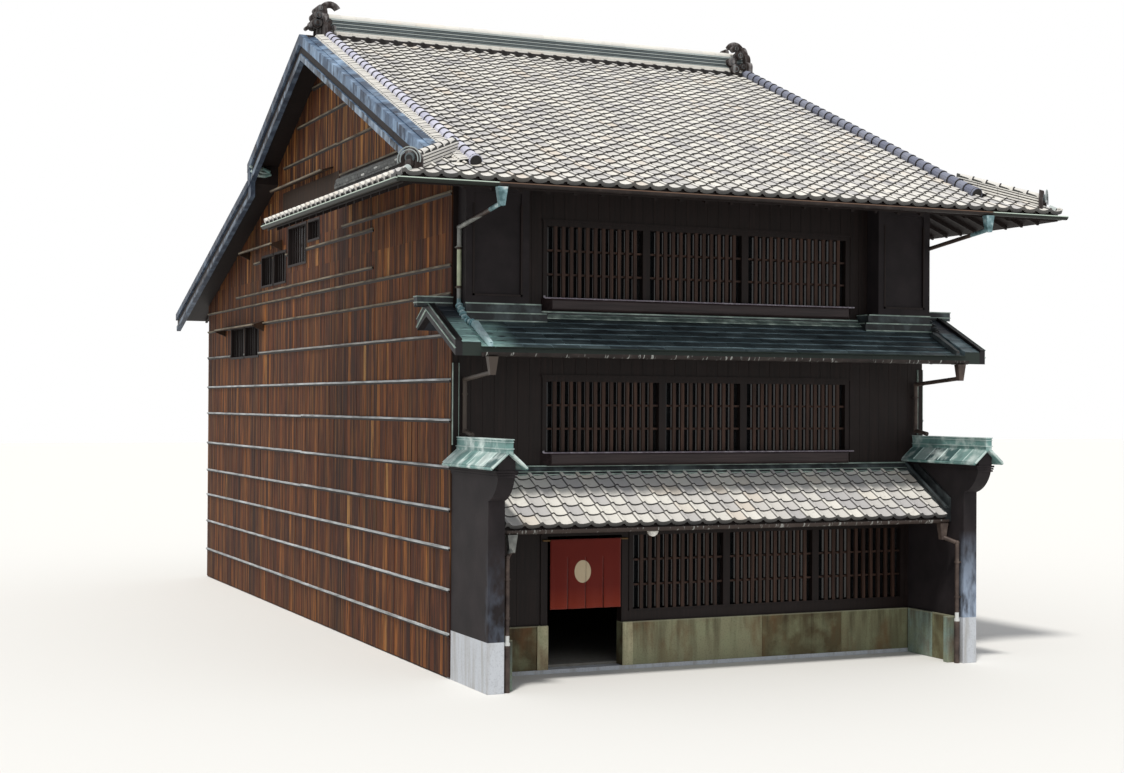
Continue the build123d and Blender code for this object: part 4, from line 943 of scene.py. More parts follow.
class MACHIYA_OT_hips(bpy.types.Operator):
    """Ridge tiles down the two hips, with round caps and the plate at the foot"""

    bl_idname = "machiya.hips"
    bl_label = "Hips"

    def execute(self, context):
        up = Vector((0, 0, 1))
        for side, word in SIDES:
            tiles, shade, plates = Heap(90 + side), Heap(95 + side), Heap(98 + side)
            start = Vector((side * (EAVE_HALF - 0.2), EAVE_FRONT + 0.2, EAVE_TOP + FRONT_PITCH * 0.2))
            across = Vector((-1, -side, 0)).normalized()
            along = Vector((-side, 1, FRONT_PITCH)).normalized()
            for width, foot, top in HIP_LAYERS:
                for first, last in shares(0, 1.3566, 4):
                    a = start + along * first
                    tiles.prism([a + across * x + up * z for x, z in ((-width, foot), (width, foot), (width, top),
                                                                      (-width, top))],
                                along * (last - first - 0.005), tiles.random.uniform(0.4, 0.8))
            for number in range(6):
                a = start + up * 0.16 + along * (0.225 * number - 0.02)
                tiles.rod(a, a + along * 0.222, 0.066, 12, tiles.random.uniform(0.4, 0.7), 0.060)
                shade.rod(a - along * 0.008, a + along * 0.012, 0.070, 12)
            disc = start + up * 0.16 - along * 0.02
            plates.rod(disc - along * 0.09, disc, 0.070, 14, 0.2)
            shade.rod(disc - along * 0.096, disc, 0.048, 12)
            tail, tip = start + Vector((side * 0.10, -0.10, -0.02)), Vector((side * 0.075, -0.075, -0.05))
            plates.rod(tail, tail + tip, 0.060, 14, 0.9)
            shade.rod(tail, tail + tip * 1.06, 0.044, 12)
            for radius in (0.175, 0.135):
                ring = [disc - along * 0.098 + across * (radius * cos(a)) + up * (radius * sin(a) - 0.02)
                        for a in (number * pi / 12 for number in range(-1, 14))]
                for first, second in zip(ring, ring[1:]):
                    plates.rod(first, second, 0.009, 6, 0.6)
            tiles.piece("hip_tiles_" + word, "roof_tiles")
            plates.piece("hip_plates_" + word, "ridge_clay", "roof_tiles")
            shade.piece("hip_joints_" + word, "joint_shade", "roof_tiles")
        return {"FINISHED"}


class MACHIYA_OT_ornament_scrolls(bpy.types.Operator):
    """Clay scrolls beside the plates at the ridge's ends"""

    bl_idname = "machiya.ornament_scrolls"
    bl_label = "Ornament scrolls"

    def execute(self, context):
        dark, pale = Heap(160), Heap(161)
        for x, y, z, radius in SCROLLS:
            for sign in (-1, 1):
                middle = RIDGE_Y + sign * (RIDGE_Y - y)
                dark.rod((x, middle + sign * 0.05, z), (x, middle - sign * 0.12, z), radius, 12, 0.1)
                pale.rod((x, middle + sign * 0.056, z), (x, middle, z), radius * 0.62, 12,
                         dark.random.uniform(0.0, 0.5))
                dark.rod((x, middle + sign * 0.062, z), (x, middle, z), radius * 0.50, 10, 0.1)
        dark.piece("ornament_scrolls", "brown_clay", "roof_tiles")
        pale.piece("ornament_curls", "ridge_clay", "roof_tiles")
        return {"FINISHED"}


class MACHIYA_OT_wall_stacks(bpy.types.Operator):
    """Flat tiles stacked against the side walls over the side roofs"""

    bl_idname = "machiya.wall_stacks"
    bl_label = "Wall stacks"

    def execute(self, context):
        heap = Heap(120)
        near, top, far = CAD["wall_stacks"][0].y, CAD["wall_stacks"][1].z, CAD["wall_stacks"][1].y
        for side in (-1, 1):
            for number, (depth, foot, head) in enumerate(STACK_LAYERS):
                y = near + 0.06 * number
                while y < far - 0.02:
                    heap.box((side * HALF, y, top + foot), (side * (HALF + depth), min(y + 0.170, far), top + head))
                    y += 0.18
            x, y = side * (HALF + 0.09), near
            while y < far - 0.05:
                heap.rod((x, y, top + 0.02), (x, min(y + 0.262, far), top + 0.02), 0.062, 12,
                         heap.random.uniform(0.3, 0.6), 0.067)
                y += 0.265
        heap.piece("wall_stack_tiles", "stack_clay", "roof_tiles")
        return {"FINISHED"}


class MACHIYA_OT_bargeboards(bpy.types.Operator):
    """Copper sheets with upright seams over the bargeboards' three bands"""

    bl_idname = "machiya.bargeboards"
    bl_label = "Bargeboards"

    def execute(self, context):
        slopes = ((CAD["bargeboards_left"][0].y, RIDGE_Y), (RIDGE_Y, REAR_END), (REAR_END, REAR_EAVE))
        y = LOWER_START - 0.03
        for side, word in SIDES:
            nose = Heap(140 + side)
            for radius, path in NOSES:
                for (x1, z1), (x2, z2) in zip(path, path[1:]):
                    nose.rod((side * x1, y, z1), (side * x2, y, z2), radius, 10, nose.random.uniform(0.2, 1.0))
            nose.piece("barge_noses_" + word, "cap_copper", "barge_copper")
            for band, (upper, lower, out, width, finish) in enumerate(BARGE_BANDS):
                heap = Heap(130 + band)
                x = side * (VERGE_HALF + out)
                for first, last in slopes:
                    scale = 0.82 if first == REAR_END else 1.0
                    for y1, y2 in shares(first, last, max(1, round((last - first) / width))):
                        y1, y2 = y1 + 0.003, y2 - 0.003
                        corners = ((y1, upper), (y2, upper), (y2, lower), (y1, lower))
                        heap.strip(x, x + side * 0.006, [(at, gable_top(at) - under * scale) for at, under in corners])
                heap.piece(f"barge_sheets_{word}_{band}", finish, "barge_copper")
        return {"FINISHED"}


# ------------------------------------------------------------------ boarded walls

BACK = 16.4
REAR_HALF = 4.16
# Openings in the side and rear walls: (near end, far end, foot, head)
SIDE_OPENINGS = ((9.45, 10.39, 6.42, 7.08), (10.46, 11.40, 6.42, 7.08), (7.95, 9.30, 6.70, 7.50),
                 (7.05, 7.88, 7.08, 7.50), (11.60, 12.815, 5.0, 5.7), (12.885, 14.10, 5.0, 5.7))
REAR_OPENINGS = ((-2.9, -1.3, 0.95, 2.05), (1.3, 2.9, 0.95, 2.05), (-2.9, -1.3, 3.35, 4.35), (1.3, 2.9, 3.35, 4.35))
# Battens: the heights of those as long as a wall, and all of the side walls' as (height, near end, far end)
FULL_BATTENS = (0.64, 1.30, 1.91, 2.48, 3.11, 3.80, 4.40, 5.07, 5.68)
SIDE_BATTENS = tuple((z, 0.01, 16.39) for z in (*FULL_BATTENS, 6.10)) + (
    (6.33, 3.8, 13.6), (6.96, 3.8, 12.0), (7.17, 0.01, 5.6),
    (8.10, 1.0, 5.75), (8.68, 2.0, 9.6), (9.33, 3.4, 8.6), (9.92, 4.7, 7.7))
SIDE_BANDS = (0.02, *FULL_BATTENS, 6.10, 6.60, 7.17, 7.70, 8.10, 8.68, 9.33, 9.92, 10.6)
# Hoods over the side windows: (near end, far end, height of their top edge)
HOODS = ((9.75, 12.45, 7.21), (11.2, 14.7, 5.66), (6.2, 9.8, 8.24))
UNDER_ROOF = 0.155
FRAME_FACE = 0.045


class BoardSizes(bpy.types.PropertyGroup):
    narrow: FloatProperty(name="Narrowest board", description="Width of the narrowest board", default=0.10,
                          unit="LENGTH")
    wide: FloatProperty(name="Widest board", description="Width of the widest board", default=0.21, unit="LENGTH")
    thick: FloatProperty(name="Board thickness", description="Thickness of the boards", default=0.018, unit="LENGTH")
    batten: FloatProperty(name="Batten", description="Height of the battens across the boards", default=0.036,
                          unit="LENGTH")
    batten_thick: FloatProperty(name="Batten thickness", description="Thickness of the battens", default=0.030,
                                unit="LENGTH")


def on_side(side):
    """Turns (along, height, out) into a point at a side wall."""
    return lambda along, z, out: (side * (HALF + out), along, z)


def on_rear(along, z, out):
    """Turns (along, height, out) into a point at the rear wall."""
    return (along, BACK + out, z)


def board_edges(start, end, sizes, chance, stops):
    """Edges of boards of mixed widths from start to end, with an edge at each stop."""
    edges = [start]
    for stop in sorted(s for s in {*stops, end} if start < s <= end):
        while stop - edges[-1] > 1.5 * sizes.wide:
            edges.append(edges[-1] + chance.uniform(sizes.narrow, sizes.wide))
        if stop - edges[-1] > 1.02 * sizes.wide:
            edges.append((edges[-1] + stop) / 2)
        edges.append(stop)
    return edges


def free_spans(low, high, taken):
    """What is left of a span once other spans are taken out."""
    spans = [(low, high)]
    for a, b in taken:
        spans = [part for first, last in spans for part in ((first, min(last, a)), (max(first, b), last))
                 if part[1] - part[0] > 0.03]
    return spans


def boarding(heap, start, end, bands, openings, roof, place, sizes):
    """Upright boards in bands between battens, cut round openings and under the roof."""
    edges = board_edges(start, end, sizes, heap.random, [edge for opening in openings for edge in opening[:2]])
    planks = [heap.random.random() for _ in edges]
    for low, high in zip(bands, bands[1:]):
        for a, b, plank in zip(edges, edges[1:], planks):
            tone = 0.55 * plank + 0.45 * heap.random.random()
            proud = sizes.thick + heap.random.uniform(-0.003, 0.003)
            taken = [(foot, head) for near, far, foot, head in openings if near < (a + b) / 2 < far]
            for z1, z2 in free_spans(low, high, taken):
                za, zb = min(z2, roof(a)), min(z2, roof(b))
                if min(za, zb) - z1 >= 0.01:
                    near, far = a + 0.002, b - 0.002
                    heap.prism([place(near, z1, 0), place(far, z1, 0), place(far, zb, 0), place(near, za, 0)],
                               Vector(place(a, z1, proud)) - Vector(place(a, z1, 0)), tone)


def batten_runs(battens, openings, roof):
    """Battens cut round openings and under the roof."""
    for z, low, high in battens:
        while roof(low) < z + 0.08 and low < high:
            low += 0.02
        while roof(high) < z + 0.08 and high > low:
            high -= 0.02
        taken = [(near - 0.02, far + 0.02) for near, far, foot, head in openings if foot - 0.05 < z < head + 0.05]
        for a, b in free_spans(low, high, taken):
            yield z, a, b


class MACHIYA_OT_side_boards(bpy.types.Operator):
    """Weathered boards and battens of both side walls and the rear wall"""

    bl_idname = "machiya.side_boards"
    bl_label = "Wall boards"

    def execute(self, context):
        sizes = context.scene.machiya_boards
        out = sizes.thick + sizes.batten_thick

        def roof(y):
            return gable_top(y) - UNDER_ROOF

        def rear_roof(x):
            return roof(BACK) - 0.01

        for side, word in SIDES:
            place = on_side(side)
            boards, battens, shade = Heap(200 + side), Heap(210 + side), Heap(215 + side)
            boarding(boards, 0.004, BACK - 0.004, SIDE_BANDS, SIDE_OPENINGS, roof, place, sizes)
            boards.piece("wall_boards_" + word, "weathered_boards")
            for z, a, b in batten_runs(SIDE_BATTENS, SIDE_OPENINGS, roof):
                middle = (a + b) / 2
                for start, end in ((a, middle - 0.002), (middle + 0.002, b)) if b - a > 6 else ((a, b),):
                    foot = z + battens.random.uniform(-0.008, 0.008)
                    battens.prism([place(start, foot, 0), place(start, foot + sizes.batten, 0),
                                   place(start, foot + sizes.batten * 0.8, out), place(start, foot, out)],
                                  Vector((0, end - start, battens.random.uniform(-0.01, 0.01))))
                    # Painted shadow: a dark strip under each batten.
                    shade.prism([place(start, z - 0.03, 0), place(start, z + 0.012, 0),
                                 place(start, z + 0.004, out - 0.002), place(start, z - 0.03, sizes.thick + 0.003)],
                                (0, end - start, 0))
            battens.piece("wall_battens_" + word, "grey_battens", "weathered_boards")
            shade.piece("batten_feet_" + word, "front_timber", "weathered_boards")

        boards, battens = Heap(220), Heap(221)
        boarding(boards, -REAR_HALF, REAR_HALF, (0.02, *FULL_BATTENS), REAR_OPENINGS, rear_roof, on_rear, sizes)
        boards.piece("rear_boards", "weathered_boards")
        for z, a, b in batten_runs([(z, -REAR_HALF, REAR_HALF) for z in FULL_BATTENS[:-1]], REAR_OPENINGS, rear_roof):
            battens.box(on_rear(a, z, 0), on_rear(b, z + sizes.batten, out))
        battens.piece("rear_battens", "grey_battens", "weathered_boards")
        return {"FINISHED"}


def window(heap, opening, place, frame, bars, spacing, half, middle_half):
    """Frame and upright bars of a window. Frame and bars are their (inner, outer) from the wall's face."""
    a1, a2, z1, z2 = opening
    low, high = z1 + FRAME_FACE, z2 - FRAME_FACE
    for start, end, foot, head in ((a1, a2, z1, low), (a1, a2, high, z2), (a1, a1 + FRAME_FACE, low, high),
                                   (a2 - FRAME_FACE, a2, low, high)):
        heap.box(place(start, foot, frame[0]), place(end, head, frame[1]), 0.4)
    count = max(2, round((a2 - a1) / spacing))
    for number in range(1, count):
        a = a1 + (a2 - a1) * number / count
        wide = middle_half if number * 2 == count else half
        heap.box(place(a - wide, low, bars[0]), place(a + wide, high, bars[1]), 0.3)


class MACHIYA_OT_side_windows(bpy.types.Operator):
    """Frames and bars of the side and rear windows, and the edges of the hoods over them"""

    bl_idname = "machiya.side_windows"
    bl_label = "Side and rear windows"

    def execute(self, context):
        for side, word in SIDES:
            heap, edges = Heap(230 + side), Heap(250 + side)
            place = on_side(side)
            for opening in SIDE_OPENINGS:
                window(heap, opening, place, (-0.055, 0.03), (-0.06, -0.03), 0.16, 0.011, 0.022)
            heap.piece("side_window_frames_" + word, "front_timber")
            for near, far, z in HOODS:
                middle = (near + far) / 2
                edges.box(place(near - 0.01, z - 0.012, 0.235), place(middle - 0.002, z + 0.018, 0.268))
                edges.box(place(middle + 0.002, z - 0.010, 0.235), place(far + 0.01, z + 0.020, 0.268))
            edges.piece("hood_edges_" + word, "grey_battens", "weathered_boards")
        heap = Heap(240)
        for opening in REAR_OPENINGS:
            window(heap, opening, on_rear, (-0.06, 0.03), (-0.04, -0.005), 0.14, 0.02, 0.02)
        heap.piece("rear_window_bars", "front_timber")
        return {"FINISHED"}


# ------------------------------------------------------------------ copper roofs, caps and flashings

PANEL_IN, PANEL_OUT, BASE_IN = 3.08, 4.08, 2.80
COPPER_COURSES = 7
# The saddle at each end of the copper roof: its height over the roof, its ridge and back from the wall, its end
SADDLE_TOP, SADDLE_RIDGE, SADDLE_BACK, SADDLE_END = COPPER_TOP + 0.06, 0.06, 0.48, CAD["copper_roof"][1].x
CAP_X, CAP_EAVE, CAP_RIDGE = HALF - 0.125, 3.19, 3.42
# Strips on a kerb: (foot and top over the roof, inner and outer edge, tone)
KERB_STRIPS = ((0.11, 0.122, 3.785, 3.83, 0.9), (0.11, 0.118, 3.832, 3.872, 0.2),
               (0.005, 0.018, 3.774, 3.792, 1.0), (0.055, 0.066, 3.776, 3.792, 0.8))


class CopperSizes(bpy.types.PropertyGroup):
    sheet: FloatProperty(name="Sheet length", description="Length of a copper sheet along the eave", default=0.455,
                         unit="LENGTH")
    course: FloatProperty(name="Course", description="Height of a course up the slope", default=0.186, unit="LENGTH")
    fold: FloatProperty(name="Fold", description="Thickness of a sheet's folded edge", default=0.019, unit="LENGTH")
    roll: FloatProperty(name="Edge roll", description="Radius of the rolled edge along a verge", default=0.020,
                        unit="LENGTH")


def slab_on_slope(heap, x1, x2, start, end, low, high, tone):
    """Flat strip on a slope between two (y, z) points, from one height over it to another."""
    (y1, z1), (y2, z2) = start, end
    heap.strip(x1, x2, [(y1, z1 + low), (y2, z2 + low), (y2, z2 + high), (y1, z1 + high)], tone)


class MACHIYA_OT_copper_sheets(bpy.types.Operator):
    """Lapped copper sheets on the pent roof between the upper storeys, and on its ends"""

    bl_idname = "machiya.copper_sheets"
    bl_label = "Copper roof"

    def execute(self, context):
        sizes = context.scene.machiya_copper
        eave_y = CAD["copper_roof"][0].y
        flat = [(0.006, 0.0), (sizes.sheet - 0.006, 0.0)]
        shape = profile_shape("copper_sheet", flat, sizes.course * 1.12, sizes.fold)
        sheets = Slope(eave_y - 0.012, copper_top(eave_y - 0.012), COPPER_PITCH).lay(
            "copper_sheets", shape, "patina_copper", -HALF - 0.24, 0.0, 0.014, Columns=20, Rows=COPPER_COURSES,
            Step_Across=sizes.sheet, Step_Up=(-eave_y - 0.01) * hypot(1, COPPER_PITCH) / COPPER_COURSES,
            Stagger=sizes.sheet / 2, Lean=-atan(sizes.fold / sizes.course), Uneven=0.0015, Seed=5)
        cuts = [((side * HALF, 0, 0), (side, 0, 0)) for side in (-1, 1)]
        piece("copper_sheets", joined("copper_sheets", [sheets], cuts), "patina_copper")

        ridge = (SADDLE_RIDGE, SADDLE_TOP)
        eave = (eave_y, SADDLE_TOP + COPPER_PITCH * eave_y)
        back = (SADDLE_BACK, SADDLE_TOP - 0.6 * (SADDLE_BACK - SADDLE_RIDGE))
        box_end = CAD["copper_ridge_boxes"][1].x + 0.006
        for side, word in SIDES:
            heap, trim = Heap(300 + side), Heap(310 + side)
            for start, count in ((eave, 6), (back, 2)):

                def at(share, lift):
                    """Point that share of the way up the saddle's slope, and over it."""
                    return (start[0] + (ridge[0] - start[0]) * share, start[1] + (ridge[1] - start[1]) * share + lift)

                for number in range(count):
                    a, b = number / count, min(1.0, (number + 1.12) / count)
                    heap.strip(side * (HALF + 0.004), side * (SADDLE_END - 0.094),
                               [at(a, 0.004), at(b, 0.001), at(b, 0.004), at(a, 0.012)])
                slab_on_slope(heap, side * (SADDLE_END - 0.094), side * (SADDLE_END + 0.006), start, ridge,
                              0.034, 0.048, 0.1)
                for rolls, out, lift, share, tone in ((trim, 0.002, 0.045, 0.5, 0.6), (heap, -0.088, 0.045, 0.7, 0.3),
                                                      (trim, 0.002, -0.075, 0.7, 0.9)):
                    x = side * (SADDLE_END + out)
                    rolls.rod((x, *at(0, lift)), (x, *at(1, lift)), sizes.roll * share, 8, tone)
            for z, proud in ((SADDLE_TOP + 0.100, 0.016), (SADDLE_TOP + 0.012, 0.008)):
                trim.box((side * (HALF + 0.002), SADDLE_RIDGE - 0.075 - proud, z),
                         (side * box_end, SADDLE_RIDGE + 0.075 + proud, z + 0.016), 0.8)
            heap.piece("saddle_sheets_" + word, "patina_copper")
            trim.piece("saddle_trim_" + word, "flash_strip", "patina_copper")
        return {"FINISHED"}


class MACHIYA_OT_pipe_shoes(bpy.types.Operator):
    """Folded elbows and flat shoes of the two pipes that run down the copper roof"""

    bl_idname = "machiya.pipe_shoes"
    bl_label = "Pipe shoes"

    def execute(self, context):
        for side, word in SIDES:
            heap = Heap(320 + side)
            middle, wall = side * (HALF - 0.142), side * (HALF - 0.038)
            heap.bridged(*([(middle + x * half, y, copper_top(y) + z) for x, z in ((-1, 0.02), (1, 0.02), (0.8, 0.088),
                                                                                 (-0.8, 0.088))]
                           for y, half in ((-0.55, 0.064), (-1.19, 0.036))), 0.95)
            top = Vector((wall, -0.16, COPPER_TOP + 0.05))
            bend = Vector((wall, -0.45, copper_top(-0.45) + 0.043))
            foot = Vector((middle, -0.57, copper_top(-0.57) + 0.043))
            for start, end, count in ((top, bend, 7), (bend, foot, 4)):
                for number in range(count):
                    place = start.lerp(end, (number + 0.5) / count)
                    way = (end - start).normalized() * 0.011
                    odd = number % 2
                    heap.rod(place - way, place + way, 0.060 - 0.014 * odd, 12, 0.2 + 0.7 * odd)
            # The left shoes are pale with painted highlights, the right ones dark copper with painted shade.
            heap.piece("pipe_shoes_" + word, "lit_shoe_copper" if side < 0 else "dark_copper", "gutter_copper")
        return {"FINISHED"}


class MACHIYA_OT_flashings(bpy.types.Operator):
    """Folded strips where the pent roofs meet the wall and the end panels' bases"""

    bl_idname = "machiya.flashings"
    bl_label = "Flashings"

    def execute(self, context):
        pale, dark, pent = Heap(330), Heap(331), Heap(333)
        foot, middle = copper_top(-0.38), (copper_top(-0.38) + COPPER_TOP + 0.08) / 2
        for heap, z1, z2, y in ((pale, -0.026, -0.006, -0.160), (dark, -0.056, -0.026, -0.148),
                                (pale, -0.076, -0.056, -0.172)):
            heap.box((-BASE_IN, y, COPPER_TOP + z1), (BASE_IN, 0, COPPER_TOP + z2), 0.7)
        slab_on_slope(pale, -BASE_IN, BASE_IN, (-0.27, copper_top(-0.27)), (-0.16, copper_top(-0.16)),
                      0.012, 0.028, 0.5)
        for side in (-1, 1):
            for inner, y, z in ((BASE_IN - 0.012, -0.392, foot + 0.004), (BASE_IN - 0.008, -0.388, middle - 0.016),
                                (BASE_IN + 0.072, -0.348, COPPER_TOP + 0.064)):
                pale.box((side * inner, y, z), (side * (PANEL_OUT + 0.006), y + 0.020, z + 0.018), 0.8)
                end = min(-0.002, max((z - COPPER_TOP) / COPPER_PITCH, y + 0.03))
                pale.box((side * inner, y, z), (side * (inner + 0.018), end, z + 0.018), 0.8)
        for z, height, y in ((PENT_TOP + 0.078, 0.018, -0.075), (pent_top(-0.128) + 0.030, 0.016, -0.128),
                             (pent_top(-0.118) + 0.070, 0.012, -0.118)):
            pent.box((-PENT_HALF, y - 0.012, z), (PENT_HALF, -0.002, z + height), 0.75)
        pale.piece("flashing_strips", "flash_strip", "patina_copper")
        dark.piece("flashing_bands", "dark_copper", "patina_copper")
        pent.piece("pent_flashing_strips", "flash_strip", "patina_copper")
        return {"FINISHED"}


class MACHIYA_OT_wing_caps(bpy.types.Operator):
    """Copper sheets, box cover and edges of the two wing walls' caps"""

    bl_idname = "machiya.wing_caps"
    bl_label = "Wing caps"

    def execute(self, context):
        front, top = CAD["wing_caps"][0].y, CAD["wing_caps"][1].z
        for side, word in SIDES:
            x = side * CAP_X
            heap, dark = Heap(340 + side), Heap(350 + side)
            for y, z, half, tone in ((-0.012, top, 0.068, 1.0), (-0.008, CAP_RIDGE + 0.012, 0.067, 0.9),
                                     (-0.008, CAP_RIDGE + 0.105, 0.061, 0.9)):
                heap.box((x - half, front + y, z), (x + half, -0.002, z + 0.014), tone)
            for hand in (-1, 1):
                inner, outer = x + hand * 0.056, x + hand * 0.266
                upper, lower = CAP_RIDGE - 0.038, CAP_EAVE + 0.008
                for y1, y2 in shares(front - 0.006, -0.002, 6):
                    heap.prism([(inner, y1, upper - 0.008), (outer, y1, lower - 0.008), (outer, y1, lower),
                                (inner, y1, upper)], (0, y2 - y1 - 0.006, 0), heap.random.uniform(0.25, 1.0))
                    heap.rod((inner, y2 - 0.003, upper), (outer, y2 - 0.003, lower), 0.008, 6, 1.0)
                edge = x + hand * 0.263
                heap.rod((edge, front, CAP_EAVE - 0.022), (edge, -0.004, CAP_EAVE - 0.022), 0.020, 8, 0.6)
                heap.rod((inner, front - 0.002, CAP_RIDGE - 0.062), (x + hand * 0.262, front - 0.002, CAP_EAVE - 0.018),
                         0.018, 8, 1.0)
            heap.piece("cap_sheets_" + word, "cap_copper", "patina_copper")
            for z, reach in ((3.035, 0.018), (3.07, 0.03), (3.105, 0.042)):
                dark.box((x - 0.125 - reach, -1.87 - 0.25 * reach, z), (x + 0.125 + reach, -0.02, z + 0.028), 0.2)
            dark.piece("cap_moulding_" + word, "black_plaster")
        return {"FINISHED"}


class MACHIYA_OT_pent_kerbs(bpy.types.Operator):
    """Striped sheets on the kerbs between the tiled pent roof and the wing walls"""

    bl_idname = "machiya.pent_kerbs"
    bl_label = "Kerbs"

    def execute(self, context):
        for side, word in SIDES:
            heap = Heap(360 + side)
            for low, high, inner, outer, tone in KERB_STRIPS:
                for y1, y2 in shares(PENT_EAVE - 0.012, -0.012, 6):
                    y2 -= 0.004
                    slab_on_slope(heap, side * inner, side * outer, (y1, pent_top(y1)), (y2, pent_top(y2)),
                                  low, high, tone)
            x = side * 3.80
            heap.rod((x, PENT_EAVE - 0.01, pent_top(PENT_EAVE) + 0.125), (x, -0.01, PENT_TOP + 0.12), 0.022, 8, 0.9)
            heap.piece("kerb_sheets_" + word, "dark_copper", "patina_copper")
        return {"FINISHED"}


# ------------------------------------------------------------------ front: boards, rafters, dado, cloth

WING_IN = HALF - 0.25
# Boarded fields of the front: (left, right, foot, head)
FIELDS = ((-WING_IN, -2.92, 0.74, 2.94), (3.84, WING_IN, 0.92, 2.94),
          (-HALF + 0.10, -2.745, 3.06, 4.78), (2.745, HALF - 0.10, 3.06, 4.78),
          (-2.745, 2.745, 4.49, 4.78), (-3.07, -2.745, 5.56, 7.50), (2.745, 3.07, 5.56, 7.50),
          (-2.745, 2.745, 6.84, 7.50), (-1.18, 3.74, 2.14, 2.50))
# Windows of the front: (sill, head, left, right)
WINDOWS = ((0.90, 2.05, -1.18, 3.74), (3.33, 4.40, -2.65, 2.65), (5.66, 6.75, -2.65, 2.65))
PANEL_FOOT, PANEL_HEAD, PANEL_Y = 5.54, 7.40, -0.33
DADO_FOOT, DADO_TOP = 0.062, 0.724
RAFTER_DEEP, RAFTER_WIDE = 0.065, 0.05


class FrontSizes(bpy.types.PropertyGroup):
    board: FloatProperty(name="Board width", description="Width of the front's upright boards", default=0.19,
                         unit="LENGTH")
    rafter: FloatProperty(name="Rafter spacing", description="Distance between rafters under the eaves", default=0.42,
                          unit="LENGTH")
    joint: FloatProperty(name="Stone joint", description="Width of the joints between dado slabs", default=0.006,
                         unit="LENGTH")


class MACHIYA_OT_front_boards(bpy.types.Operator):
    """Upright boards, corner strips and beams of the dark timber front"""

    bl_idname = "machiya.front_boards"
    bl_label = "Front boards"

    def execute(self, context):
        sizes = context.scene.machiya_front
        boards, trim, edges, mouldings = Heap(400), Heap(401), Heap(405), Heap(402)
        for x1, x2, z1, z2 in FIELDS:
            for a, b in shares(x1, x2, max(1, round((x2 - x1) / sizes.board))):
                boards.box((a + 0.002, -0.009 - boards.random.uniform(0, 0.003), z1), (b - 0.002, 0.001, z2))
        for sill, head, left, right in WINDOWS:
            boards.box((left - 0.09, -0.032, head + 0.070), (right + 0.09, -0.001, head + 0.105), 0.5)
            boards.box((left - 0.07, -0.026, sill - 0.012), (right + 0.07, -0.001, sill + 0.012), 0.6)
        for side in (-1, 1):
            boards.box((side * (HALF - 0.09), -0.030, 3.45), (side * (HALF - 0.005), 0.001, 4.66), 0.3)
            for x in (HALF - 0.097, HALF - 0.004):
                trim.box((side * x, -0.036, 3.45), (side * (x + 0.008), 0.001, 4.66), 0.9)
        boards.piece("front_boards", "front_timber")
        trim.piece("corner_trim", "flash_strip", "patina_copper")

        # Painted highlight: a pale rod along each rail's top, with a pale upturned end at its left.
        for node in ("rail_second", "rail_third"):
            low, high = CAD[node]
            x, y, z = high.x, low.y + 0.022, high.z - 0.004
            edges.rod((-x, y, z), (x, y, z), 0.011, 8)
            edges.rod((-x - 0.001, y, z), (-x - 0.012, y, z + 0.03), 0.018, 8)
        edges.piece("rail_edges", "rail_highlight", "front_timber")

        foot, head = PANEL_FOOT + 0.105, PANEL_HEAD - 0.40
        for side in (-1, 1):
            low, high = sorted((side * PANEL_IN, side * PANEL_OUT))
            for x1, x2, top in ((low + 0.105, low + 0.135, head), (high - 0.135, high - 0.105, head),
                                (low + 0.105, high - 0.105, foot + 0.03)):
                mouldings.box((x1, PANEL_Y - 0.010, foot), (x2, PANEL_Y + 0.028, top), 0.4)
        mouldings.piece("panel_mouldings", "front_timber")
        return {"FINISHED"}


class MACHIYA_OT_rafters(bpy.types.Operator):
    """Rafters under the overhanging roofs"""

    bl_idname = "machiya.rafters"
    bl_label = "Rafters"

    def execute(self, context):
        spacing = context.scene.machiya_front.rafter
        heap = Heap(410)

        def section(near, far, under):
            """A rafter from the side, between two places, tapered at the near one."""
            return [(near, under(near)), (far, under(far)), (far, under(far) - RAFTER_DEEP),
                    (near, under(near) - RAFTER_DEEP * 0.8)]

        for half, near, far, top, thick in ((4.62, EAVE_FRONT + 0.06, -0.34, gable_top, 0.15),
                                            (3.98, -1.10, -0.002, copper_top, 0.12),
                                            (3.70, -1.08, -0.002, pent_top, 0.11),
                                            (4.05, BACK + 0.03, REAR_EAVE - 0.06, gable_top, 0.15)):
            count = round(2 * half / spacing)
            for number in range(count + 1):
                x = -half + 2 * half * number / count - RAFTER_WIDE / 2
                heap.strip(x, x + RAFTER_WIDE, section(near, far, lambda y: top(y) - thick))

        def side_under(x):
            return EAVE_TOP + FRONT_PITCH * (EAVE_HALF - x) - 0.15

        count = round((SIDE_END - EAVE_FRONT) / spacing)
        outer = EAVE_HALF - 0.06
        for side in (-1, 1):
            for number in range(1, count):
                y = EAVE_FRONT + (SIDE_END - EAVE_FRONT) * number / count
                inner = max(HALF + 0.02, EAVE_HALF + EAVE_FRONT - y + 0.12)
                if outer - inner >= 0.2:
                    heap.prism([(side * x, y - RAFTER_WIDE / 2, z) for x, z in section(outer, inner, side_under)],
                               (0, RAFTER_WIDE, 0))
        heap.piece("rafters", "front_timber")
        return {"FINISHED"}


